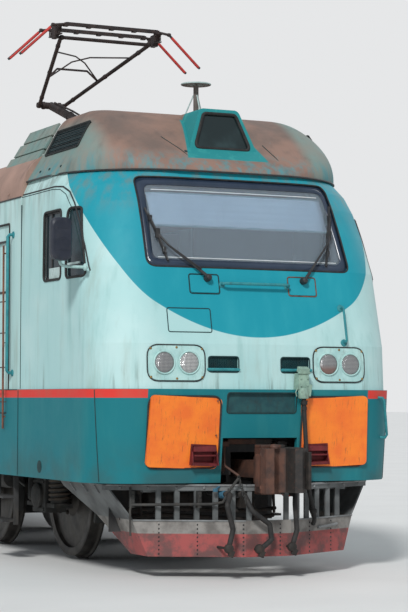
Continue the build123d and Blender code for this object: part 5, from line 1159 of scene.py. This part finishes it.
for end, pivot in loco["pivots"].items():
    coils, gear, beam = forms(3)
    for side in (-1, 1):
        for y in (pivot + step for step in bogieGear["axles"]):
            for way in (-1, 1):
                centre = Vector((side * springs["x"], y + way * springs["reach"], 0))
                path = []
                for k in range(count + 1):
                    a, radius = math.tau * k / springs["steps"], springs["radius"]
                    z = low + wire + (high - low - 2 * wire) * k / count
                    path.append(centre + Vector((math.cos(a) * radius, math.sin(a) * radius, z)))
                coils.tube(path, wire, 8)
                for z in (low - 0.006, high - 0.004):
                    gear.lathe(seat, centre + Vector((0, 0, z)), (0, 0, 1), 20)
            gear.lathe(bogieGear["cap"], (side * 1.215, y, axleZ), (side, 0, 0), 24)
            for dy, dz in circle(8, bogieGear["boltRing"]):
                gear.bolt((side * 1.232, y + dy, axleZ + dz), (side, 0, 0), 0.013, 0.016)
            for dz in (-0.138, 0.138):
                gear.block((side * 1.205, y, axleZ + dz), (0.02, 0.30, 0.03))
            # damper from the axlebox up to the side beam
            foot, top = Vector((side * 1.225, y + 0.155, 0.60)), Vector((side * 1.205, y + 0.20, 1.02))
            rod = [(0.018, 0.2), (0.018, 0.34), (0.044, 0.345), (0.044, 0.36), (0.02, (top - foot).length)]
            gear.lathe([(0.02, 0), (0.036, 0.02), (0.036, 0.22), (0.03, 0.23)], foot, top - foot, 16)
            gear.lathe(rod, foot, top - foot, 16)
    coils.build("axle_springs_" + end, "springSteel", body="bogie_" + end, slot="bogie_steel")
    gear.build("axlebox_gear_" + end, "bogie", body="bogie_" + end, slot="bogie_steel", edge=0.002)
    # side beam: flanges, gusset plates, brake cylinders and pipes
    for side in (-1, 1):
        for z in bogieGear["flangeZ"]:
            beam.block((side * 1.156, pivot, z), (0.02, 5.9, 0.018))
        for k in range(bogieGear["gussets"]):
            beam.block((side * 1.153, pivot - 2.76 + 0.46 * k, 1.02), (0.012, 0.014, 0.115))
        for y in (pivot + step for step in bogieGear["brakes"]):
            beam.lathe(bogieGear["brake"], (side * 1.12, y, 0.80), (0, 1, 0), 24)
            beam.block((side * 1.12, y, 0.91), (0.10, 0.18, 0.06))
            beam.tube([(side * 1.12, y - 0.16, 0.80), (side * 1.12, y - 0.36, 0.76), (side * 1.08, y - 0.42, 0.72)],
                      0.016, 8)
        beam.tube(smoothPath([(side * x, pivot + y, z) for x, y, z in bogieGear["pipe"]], 6), 0.013, 8)
    beam.build("bogie_side_gear_" + end, "bogie", body="bogie_" + end, slot="bogie_steel", edge=0.002)
print("bogies done")

# Wheels: bosses on the web and a bright tread ring on each wheel
wheel = {
    "bosses": 6, "bossRing": 0.20, "boss": [(0.022, -0.012), (0.022, 0.012), (0.012, 0.02)],
    # radius and distance from the middle of the track
    "tread": [(0.54, 0.852), (0.60, 0.858), (0.612, 0.862), (0.60, 0.864), (0.54, 0.860)],
}
for number, y in enumerate(loco["axles"], 1):
    rings = Form()
    for side in (-1, 1):
        for dy, dz in circle(wheel["bosses"], wheel["bossRing"]):
            rings.lathe(wheel["boss"], (side * 0.932, y + dy, axleZ + dz), (side, 0, 0), 10)
        loops = []
        for radius, x in wheel["tread"]:
            loops.append([Vector((side * x, y + dy, axleZ + dz)) for dy, dz in circle(64, radius)])
        for a, b in zip(loops, loops[1:]):
            rings.band(a, b)
    rings.build(f"wheel_trim_{number}", "wheel", body=f"axle_{number}", slot="wheel_steel")
print("wheels done")

# Pantographs: ribbed insulators under the base, springs, strips, spring boxes and arm fittings
collector = {
    "pivotY": -4.75, "insulatorYs": (-0.35, 0.95), "x": 0.42, "foot": 4.17, "top": 4.47,
    # pivot, knee and head as y and z
    "joints": {
        "front": ((-4.75, 4.65), (-3.399749, 5.099169), (-5.073939, 5.598266)),
        "rear": ((-4.75, 4.65), (-3.327488, 4.61275), (-5.073423, 4.67372)),
    },
    "kneeHalf": 0.15, "headHalf": 0.53, "braces": (0.42, 0.80), "clear": 0.125,
    "armRing": [(0.022, -0.018), (0.027, -0.014), (0.027, 0.014), (0.022, 0.018)],
    "collar": [(0.048, -0.02), (0.056, -0.014), (0.056, 0.014), (0.048, 0.02)],
}


def insulator(form, place, height, radius, ribs):
    pitch = (height - 0.06) / ribs
    profile = [(radius * 0.62, 0), (radius * 0.62, 0.02)]
    for k in range(ribs):
        z = 0.03 + pitch * k
        profile += [(radius * 0.55, z), (radius, z + pitch * 0.35), (radius * 0.97, z + pitch * 0.55),
                    (radius * 0.55, z + pitch * 0.8)]
    form.lathe(profile + [(radius * 0.62, height - 0.02), (radius * 0.62, height)], place, (0, 0, 1), 24)


ceramics, baseGear = forms(2)
foot, height = collector["foot"], collector["top"] - collector["foot"]
for side in (-1, 1):
    x = side * collector["x"]
    for y in (collector["pivotY"] + dy for dy in collector["insulatorYs"]):
        insulator(ceramics, (x, y, foot), height, 0.10, 5)
        baseGear.lathe([(0.11, 0), (0.11, 0.02), (0.07, 0.03)], (x, y, 4.15), (0, 0, 1), 20)
    baseGear.tube([(side * 0.30, y, z) for y, z in ((-4.70, 4.56), (-4.2, 4.545), (-3.85, 4.535))], 0.030, 12)
    spring = []
    for k in range(121):
        a, share = math.tau * k / 10, k / 120
        z = 4.558 + 0.043 * math.sin(a) - 0.02 * share
        spring.append((side * 0.30 + 0.043 * math.cos(a), -4.66 + 0.72 * share, z))
    baseGear.tube(spring, 0.008, 6)
    for y in (-5.02, -3.80):
        baseGear.bolt((side * 0.42, y, 4.535), (0, 0, 1), 0.02, 0.02)
baseGear.block((0, -4.75, 4.545), (0.30, 0.22, 0.05))
baseGear.lathe([(0.05, -0.18), (0.06, -0.17), (0.06, 0.12), (0.045, 0.14)], (0.12, -4.35, 4.56), (0, 1, 0), 18)
ceramics.turned().build("collector_insulators", "ceramic", slot="ceramic")
baseGear.turned().build("collector_base_gear", "collector", slot="collector_paint", edge=0.002)
kneeHalf, headHalf = collector["kneeHalf"], collector["headHalf"]
for end, spots in collector["joints"].items():
    lower, upper, bow, horns, strips = forms(5)
    pivot, knee, head = (Vector((0, *spot)) for spot in spots)
    away, along = (head - knee).normalized(), (knee - pivot).normalized()
    clear = Vector((0, away.z, -away.y)) * collector["clear"]
    raised = Vector((0, -along.z, along.y))
    for side in (-1, 1):
        way = Vector((side, 0, 0))
        lower.lathe([(0.052, -0.02), (0.052, 0.02), (0.04, 0.03)], pivot + way * 0.15, way, 18)
        lower.lathe([(0.046, -0.015), (0.046, 0.015), (0.03, 0.02)], knee + way * 0.10, way, 18)
        upper.lathe([(0.036, -0.014), (0.036, 0.014), (0.024, 0.02)], knee + way * 0.155, way, 18)
        a, b = knee + way * kneeHalf, head + way * headHalf
        for share in (0.12, 0.5, 0.88):
            upper.lathe(collector["armRing"], a.lerp(b, share), b - a, 14)
        upper.lathe([(0.026, -0.02), (0.03, 0), (0.026, 0.016)], head + way * 0.52, way, 14)
    # braces between the upper arm's tubes, arched so that they clear the lower arm when it is stowed
    near, far = (knee.lerp(head, share) for share in collector["braces"])
    nearHalf, farHalf = (kneeHalf + (headHalf - kneeHalf) * share for share in collector["braces"])
    wide = Vector((nearHalf, 0, 0))
    upper.tube([near - wide, near + clear - wide * 0.6, near + clear + wide * 0.6, near + wide], 0.013, 8)
    for side in (-1, 1):
        a, b = near + Vector((-side * nearHalf, 0, 0)), far + Vector((side * farHalf, 0, 0))
        upper.tube([a, a.lerp(b, 0.30) + clear, a.lerp(b, 0.52) + clear, b], 0.009, 8)
    for share in (0.2, 0.55):
        lower.lathe(collector["collar"], pivot.lerp(knee, share), along, 18)
    lower.tube([pivot + along * 0.10 + raised * 0.062, pivot.lerp(knee, 0.5) + raised * 0.075,
                knee - along * 0.10 + raised * 0.058], 0.012, 8)
    for dy in (-0.185, 0.185):
        strips.block(head + Vector((0, dy, 0.1315)), (1.09, 0.052, 0.006))
        strips.block(head + Vector((0, dy, 0.1275)), (1.02, 0.030, 0.014))
        for x in (-0.54, -0.27, 0, 0.27, 0.54):
            bow.block(head + Vector((x, dy, 0.096)), (0.05, 0.07, 0.012))
        for side in (-1, 1):
            root, tip = head + Vector((side * 0.69, dy, 0.095)), head + Vector((side * 1.06, dy, -0.25))
            horns.tube([root.lerp(tip, share) for share in (0.08, 0.5, 0.985)], 0.0165, 8)
            bow.lathe([(0.016, -0.02), (0.021, -0.012), (0.021, 0.012), (0.016, 0.02)], root, (side, 0, 0), 12)
    for side in (-1, 1):
        centre = head + Vector((side * 0.592, 0, 0.05))
        for dy in (-0.12, 0.12):
            turns = ((math.tau * j / 8, -0.025 + 0.075 * j / 48) for j in range(49))
            bow.tube([centre + Vector((0.026 * math.cos(a), dy + 0.026 * math.sin(a), z)) for a, z in turns], 0.005, 6)
            bow.tube([centre + Vector((0, dy, z)) for z in (-0.032, 0.055)], 0.012, 8)
        bow.block(centre + Vector((0, 0, -0.033)), (0.05, 0.30, 0.012))
    hornFinish = "redPaint" if end == "front" else "collector"
    for form, part, body, finish in (
            (lower, "lower_arm_fittings", "lower", "collector"), (upper, "upper_arm_fittings", "upper", "collector"),
            (bow, "head_fittings", "head", "collector"), (horns, "horn_sleeves", "head", hornFinish),
            (strips, "contact_strips", "head", "carbon")):
        if end == "rear":
            form.points = [halfTurn @ point for point in form.points]
        form.build(f"{part}_{end}", finish, body=f"collector_{body}_{end}", slot="collector_paint", edge=0.0015)
print("pantographs done")

# Roof: ribbed insulators of the bus bar and breaker, hatch rims and bolts, aerial ribs
roof = {
    "busX": 0.69, "busZ": 4.56, "busYs": (-2.9, -1.7, -0.5, 0.7, 1.9, 3.1),
    "breakerX": -0.62, "breakerYs": (1.25, 1.65),
    # middle, length, width and height of the hatches
    "hatches": ((-2.65, 1.5, 1.0, 4.32), (0.0, 1.9, 1.0, 4.36), (2.65, 1.5, 1.0, 4.32)),
    # radius and path of the leads from the bus bar to the breaker and to both pantographs
    "leads": [
        (0.014, [(-0.62, 1.65, 4.70), (-0.30, 1.75, 4.72), (0.35, 1.85, 4.66), (0.69, 1.9, 4.585)]),
        (0.012, [(0.69, -2.9, 4.585), (0.60, -3.15, 4.62), (0.45, -3.4, 4.58), (0.42, -3.62, 4.545)]),
        (0.012, [(0.69, 3.1, 4.585), (0.30, 3.35, 4.63), (-0.15, 3.5, 4.60), (-0.42, 3.65, 4.545)]),
    ],
    "eavesBolts": 26, "seamYs": (-5.75, -1.75, 1.75, 5.75), "aerialY": -7.46,
}
posts, bus, hatchGear, aerial = forms(4)
x, z = roof["busX"], roof["busZ"]
for y in roof["busYs"]:
    insulator(posts, (x, y, 4.20), 0.33, 0.085, 6)
    bus.block((x, y, z), (0.07, 0.06, 0.05)).bolt((x, y, z + 0.025), (0, 0, 1), 0.014, 0.014)
for y in roof["breakerYs"]:
    insulator(posts, (roof["breakerX"], y, 4.40), 0.30, 0.105, 6)
    bus.lathe([(0.06, 0), (0.07, 0.01), (0.05, 0.03), (0.02, 0.035)], (roof["breakerX"], y, 4.70), (0, 0, 1), 18)
for radius, lead in roof["leads"]:
    bus.tube(smoothPath(lead, 6), radius, 8)
for y, length, width, top in roof["hatches"]:
    loop = boxLoop(-width / 2, width / 2, y - length / 2, y + length / 2, 0.09)
    hatchGear.tube([(a, b, top - 0.012) for a, b in loop], 0.012, 6, closed=True)
    hatchGear.tube([(a * 1.01, y + (b - y) * 1.01, 4.215 - abs(a) * 0.095) for a, b in loop], 0.014, 6, closed=True)
    for a, b in loop[::6]:
        hatchGear.bolt((a * 0.93, y + (b - y) * 0.95, top - 0.001), (0, 0, 1), 0.014, 0.012)
    for dx in (-0.28, 0.28):
        for dy in (-length * 0.32, length * 0.32):
            turns = [math.pi * j / 8 for j in range(9)]
            eye = [(dx + 0.045 * math.cos(a), y + dy, top + 0.045 * math.sin(a) - 0.005) for a in turns]
            hatchGear.tube(eye, 0.009, 6)
    for k in range(3):
        hatchGear.block((0, y + (k - 1) * length * 0.27, top + 0.004), (width * 0.62, length * 0.17, 0.012))
for side in (-1, 1):
    for k in range(roof["eavesBolts"]):
        hatchGear.bolt((side * 1.548, -6.3 + 0.504 * k, 3.70), (side, 0, 0.05), 0.012, 0.010)
    for y in roof["seamYs"]:
        hatchGear.tube([(side * 1.551, y, 3.66), (side * 1.537, y, 3.86)], 0.006, 6)
posts.build("roof_insulators", "ceramic", slot="ceramic")
bus.build("bus_bar_fittings", "copper", slot="ceramic", edge=0.002)
hatchGear.build("roof_hatch_gear", "roof", slot="roof_paint", edge=0.002)
y = roof["aerialY"]
for (x1, y1), (x2, y2) in zip(circle(8, 0.028), circle(8, 0.14)):
    aerial.tube([(x1, y + y1, 4.765), (x2, y + y2, 4.768)], 0.006, 6)
aerial.tube([(a, y + b, 4.77) for a, b in circle(40, 0.145)], 0.008, 6, closed=True)
aerial.lathe([(0.05, 0), (0.05, 0.012), (0.03, 0.02)], (0, y, 4.776), (0, 0, 1), 16)
for (x1, y1), (x2, y2) in zip(circle(3, 0.026, 0.5), circle(3, 0.105, 0.5)):
    aerial.tube([(x1, y + y1, 4.66), (x2, y + y2, 4.475)], 0.007, 6)
aerial.turned().build("aerial_ribs", "pale", slot="ceramic")
print("roof done")

# Cab inside: crowned seat cushions with piping, seat stands, and the desk's screens and gauges
seats = {
    "xs": (-0.62, 0.62), "y": -7.34, "cushionZ": 1.957, "cushion": (0.50, 0.47, 0.10),
    "backY": -7.13, "backZ": 2.35, "back": (0.47, 0.10, 0.74), "crown": 0.28,
    "stand": [(0.07, 0), (0.07, 0.02), (0.05, 0.05), (0.045, 0.36), (0.06, 0.40), (0.06, 0.43)],
}


def cushionForm(centre, size, crown, axis):
    # a closed pad: rounded block whose face along the axis swells and whose sides pull in between corners
    form = Form()
    parts = 10
    for flat in range(3):
        for side in (-1, 1):
            base = len(form.points)
            for i in range(parts + 1):
                for j in range(parts + 1):
                    spot = [0.0, 0.0, 0.0]
                    spot[flat] = side
                    spot[(flat + 1) % 3] = 2 * i / parts - 1
                    spot[(flat + 2) % 3] = 2 * j / parts - 1
                    power = sum(abs(part) ** 5 for part in spot) ** (-1 / 5)
                    spot = [part * power for part in spot]
                    others = [k for k in range(3) if k != axis]
                    swell = max(0, 1 - spot[others[0]] ** 2) * max(0, 1 - spot[others[1]] ** 2)
                    for k in others:
                        spot[k] *= 1 - 0.035 * (1 - spot[[o for o in others if o != k][0]] ** 2)
                    point = [spot[k] * size[k] / 2 for k in range(3)]
                    point[axis] *= 1 - crown * (1 - swell)
                    form.points.append(Vector(centre) + Vector(point))
            row = parts + 1
            corners = [base + i * row + j for i in range(parts) for j in range(parts)]
            form.faces += [[first, first + row, first + row + 1, first + 1] for first in corners]
    return form


stands, piping, controls = forms(3)
for end in ("front", "rear"):
    for label, x in zip(("left", "right"), seats["xs"]):
        pads = {
            "cushion": cushionForm((x, seats["y"], seats["cushionZ"]), seats["cushion"], seats["crown"], 2),
            "backrest": cushionForm((x, seats["backY"], seats["backZ"]), seats["back"], seats["crown"], 1),
        }
        for kind, form in pads.items():
            if end == "rear":
                form.points = [halfTurn @ point for point in form.points]
            pad = form.build(f"{end}_{label}_seat_{kind}", "seat", slot="seat_fabric")
            weld = pad.modifiers.new("joined", "WELD")
            weld.merge_threshold = 0.0005
            soft = pad.modifiers.new("soft", "SUBSURF")
            soft.levels = soft.render_levels = 1
for x in seats["xs"]:
    stands.lathe(seats["stand"], (x, seats["y"], 1.47), (0, 0, 1), 24)
    stands.block((x, seats["y"], 1.902), (0.42, 0.40, 0.014)).block((x, -7.082, 2.33), (0.40, 0.012, 0.66))
    for dx in (-0.17, 0.17):
        stands.block((x + dx, -7.09, 1.98), (0.03, 0.02, 0.16))
    loop = boxLoop(x - 0.235, x + 0.235, 2.02, 2.68, 0.1)
    piping.tube([(a, -7.155, b) for a, b in loop], 0.005, 6, closed=True)
standPiece = stands.turned().build("seat_stands", "trim", slot="black_trim", edge=0.002)
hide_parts("driver_seats")
piping.turned().build("seat_piping", "rubber", slot="seat_fabric")
desk = {
    "low": (-7.74, 2.30), "high": (-8.18, 2.445),
    "screens": (-0.62, 0.0, 0.55), "gauges": (-0.98, -0.84, 0.86, 1.0),
    "levers": (-0.30, 0.28), "gauge": [(0.05, -0.004), (0.055, 0.008), (0.046, 0.014), (0.044, 0.008)],
    "knob": [(0.012, 0), (0.026, 0.012), (0.026, 0.03), (0.014, 0.042)],
}
low, high = (Vector((0, *desk[key])) for key in ("low", "high"))
run = (high - low).normalized()
up = Vector((0, run.z, -run.y))
for x in desk["screens"]:
    middle = (low + high) / 2 + Vector((x, 0, 0)) + up * 0.012
    controls.block(middle, (0.32, 0.24, 0.02), (-math.atan2(run.z, -run.y), 0, 0))
for x in desk["gauges"]:
    controls.lathe(desk["gauge"], Vector((x, -7.95, 2.37)) + up * 0.006, up, 24)
for x in desk["levers"]:
    foot = Vector((x, -7.80, 2.33))
    controls.tube([foot, foot + Vector((0, 0.01, 0.10))], 0.010, 8)
    controls.lathe(desk["knob"], foot + Vector((0, 0.01, 0.095)), (0, 0.1, 1), 14)
controls.turned().build("desk_controls", "trim", slot="desk_plastic", edge=0.003)
print("cab inside done")

# Side walls: rubbers round windows and doors, louvre frames, seams, bolts, handles and step treads
wall = {
    "x": 1.55, "skirtX": 1.572, "louvre": (2.70, 3.40), "window": (2.83, 3.33), "jackYs": (-7.3, -2.7, 2.7, 7.3),
    # middle and width of each bay
    "bays": [(-4.7, 0.9, "louvre"), (-3.6, 0.7, "window"), (-2.5, 0.9, "louvre"), (-1.4, 0.7, "window"),
             (0.0, 1.2, "louvre"),
             (4.7, 0.9, "louvre"), (3.6, 0.7, "window"), (2.5, 0.9, "louvre"), (1.4, 0.7, "window")],
    "seamYs": (-5.45, -4.15, -3.05, -1.95, -0.85, 0.85, 1.95, 3.05, 4.15, 5.45),
    "doorY": 6.015, "doorX": 1.538, "doorZ": (1.48, 3.40), "treads": (1.60, 1.95, 2.30, 2.62),
}
bayRims, windowRubbers, wallBolts, wallSeams = forms(4)
wallX, skirtX, doorY = wall["x"], wall["skirtX"], wall["doorY"]


def sideLoop(side, x, y1, y2, z1, z2, corner):
    return [(side * x, a, b) for a, b in boxLoop(y1, y2, z1, z2, corner)]


for side in (-1, 1):
    for y, width, kind in wall["bays"]:
        low, high = wall[kind]
        form, corner = (windowRubbers, 0.05) if kind == "window" else (bayRims, 0.02)
        loop = sideLoop(side, wallX + 0.001, y - width / 2, y + width / 2, low, high, corner)
        form.tube(loop, 0.012, 8, closed=True)
        if kind == "louvre":
            for dy in (-width / 2 + 0.012, width / 2 - 0.012):
                for z in (low + 0.05 + (high - low - 0.1) * k / 4 for k in range(5)):
                    wallBolts.bolt((side * (wallX - 0.004), y + dy, z), (side, 0, 0), 0.007, 0.006)
    for y in wall["seamYs"]:
        wallSeams.tube([(side * wallX, y, z) for z in (1.73, 2.3, 3.0, 3.64)], 0.004, 6)
        wallSeams.tube([(side * skirtX, y, z) for z in (0.88, 1.3, 1.72)], 0.004, 6)
    for y in (-doorY, doorY):
        windowRubbers.tube(sideLoop(side, wallX, y - 0.325, y + 0.325, *wall["doorZ"], 0.03), 0.011, 8, closed=True)
    wallSeams.tube([(side * 1.5735, y, 1.722) for y in (-6.65, -3, 0, 3, 6.65)], 0.004, 6)
    for y in wall["jackYs"]:
        cover = [(0.06, -0.01), (0.06, 0.003), (0.05, 0.006), (0.02, 0.007)]
        wallBolts.lathe(cover, (side * skirtX, y, 0.98), (side, 0, 0), 20)
bayRims.build("louvre_rims", "side", slot="side_paint", edge=0.001)
windowRubbers.build("wall_rubbers", "rubber", slot="black_trim")
wallBolts.build("wall_bolts", "seam", slot="side_paint")
wallSeams.build("wall_seams", "seam", slot="side_paint")
for end, way in (("front", -1), ("rear", 1)):
    for label, side in (("left", -1), ("right", 1)):
        fittings = Form()
        y, face = way * doorY, side * wall["doorX"]
        handleY = y + way * 0.24
        fittings.tube(sideLoop(side, wall["doorX"], y - 0.222, y + 0.222, 2.712, 3.228, 0.05), 0.012, 8, closed=True)
        fittings.lathe([(0.03, 0), (0.03, 0.006), (0.02, 0.012)], (face, handleY, 2.20), (side, 0, 0), 14)
        fittings.tube([(face, handleY, 2.20), (face + side * 0.010, handleY, 2.20),
                       (face + side * 0.010, y + way * 0.16, 2.195)], 0.007, 8)
        for z in wall["treads"]:
            fittings.block((face + side * 0.001, y, z), (0.004, 0.52, 0.010))
        fittings.build(f"door_fittings_{end}_{label}", "trim", body=f"{end}_{label}_door", slot="black_trim",
                       edge=0.001)
print("side walls done")
# Floor, soft light and the camera
studio = {"floorColour": (0.74, 0.74, 0.72), "world": 0.5, "key": 2.4, "fill": 0.5}
floorMesh = bpy.data.meshes.new("studioFloor")
floorMesh.from_pydata([(-140, -140, 0), (140, -140, 0), (140, 260, 0), (-140, 260, 0)], [], [(0, 1, 2, 3)])
floor = bpy.data.objects.new("studioFloor", floorMesh)
bpy.context.collection.objects.link(floor)
floorPaint = Finish("studioFloorPaint")
grain = floorPaint.rise(floorPaint.noise(0.6, 4), 0.3, 0.8)
floorPaint.set(Base_Color=floorPaint.blend(grain, studio["floorColour"], (0.70, 0.70, 0.68)), Roughness=0.9)
floorMesh.materials.append(floorPaint.material)

world = bpy.data.worlds.new("softSky")
bpy.context.scene.world = world
world.use_nodes = True
worldNodes = world.node_tree
sky = worldNodes.nodes["Background"]
sky.inputs["Color"].default_value = (0.80, 0.85, 0.92, 1)
sky.inputs["Strength"].default_value = studio["world"]
pale = worldNodes.nodes.new("ShaderNodeBackground")
pale.inputs["Color"].default_value = (0.93, 0.94, 0.95, 1)
pale.inputs["Strength"].default_value = 0.85
swap = worldNodes.nodes.new("ShaderNodeMixShader")
path = worldNodes.nodes.new("ShaderNodeLightPath")
worldNodes.links.new(path.outputs["Is Camera Ray"], swap.inputs[0])
worldNodes.links.new(sky.outputs[0], swap.inputs[1])
worldNodes.links.new(pale.outputs[0], swap.inputs[2])
worldNodes.links.new(swap.outputs[0], worldNodes.nodes["World Output"].inputs[0])

for name, energy, turn, size in (("keySun", studio["key"], (52, 0, -38), 9),
                                 ("fillSun", studio["fill"], (60, 0, 120), 40)):
    lamp = bpy.data.lights.new(name, "SUN")
    lamp.energy = energy
    lamp.angle = math.radians(size)
    lampObject = bpy.data.objects.new(name, lamp)
    lampObject.rotation_euler = [math.radians(part) for part in turn]
    bpy.context.collection.objects.link(lampObject)

shot = {"place": (-8.243, -25.168, 1.623), "heading": 25.22, "rise": 2.739, "roll": 0.209, "lens": 115.86}
heading, rise, roll = (math.radians(shot[key]) for key in ("heading", "rise", "roll"))
ahead = Vector((math.sin(heading) * math.cos(rise), math.cos(heading) * math.cos(rise), math.sin(rise)))
level = Vector((math.cos(heading), -math.sin(heading), 0))
upward = level.cross(ahead)
right = level * math.cos(roll) + upward * math.sin(roll)
top = upward * math.cos(roll) - level * math.sin(roll)
camera = bpy.data.cameras.new("photoCamera")
camera.sensor_fit = "VERTICAL"
camera.sensor_height = 36
camera.sensor_width = 24
camera.lens = shot["lens"]
camera.clip_end = 500
cameraObject = bpy.data.objects.new("photoCamera", camera)
turned = Matrix((right, top, -ahead)).transposed().to_4x4()
cameraObject.matrix_world = Matrix.Translation(shot["place"]) @ turned
bpy.context.collection.objects.link(cameraObject)
bpy.context.scene.camera = cameraObject
bpy.context.scene.view_settings.view_transform = "Standard"
print("floor, light and camera set")
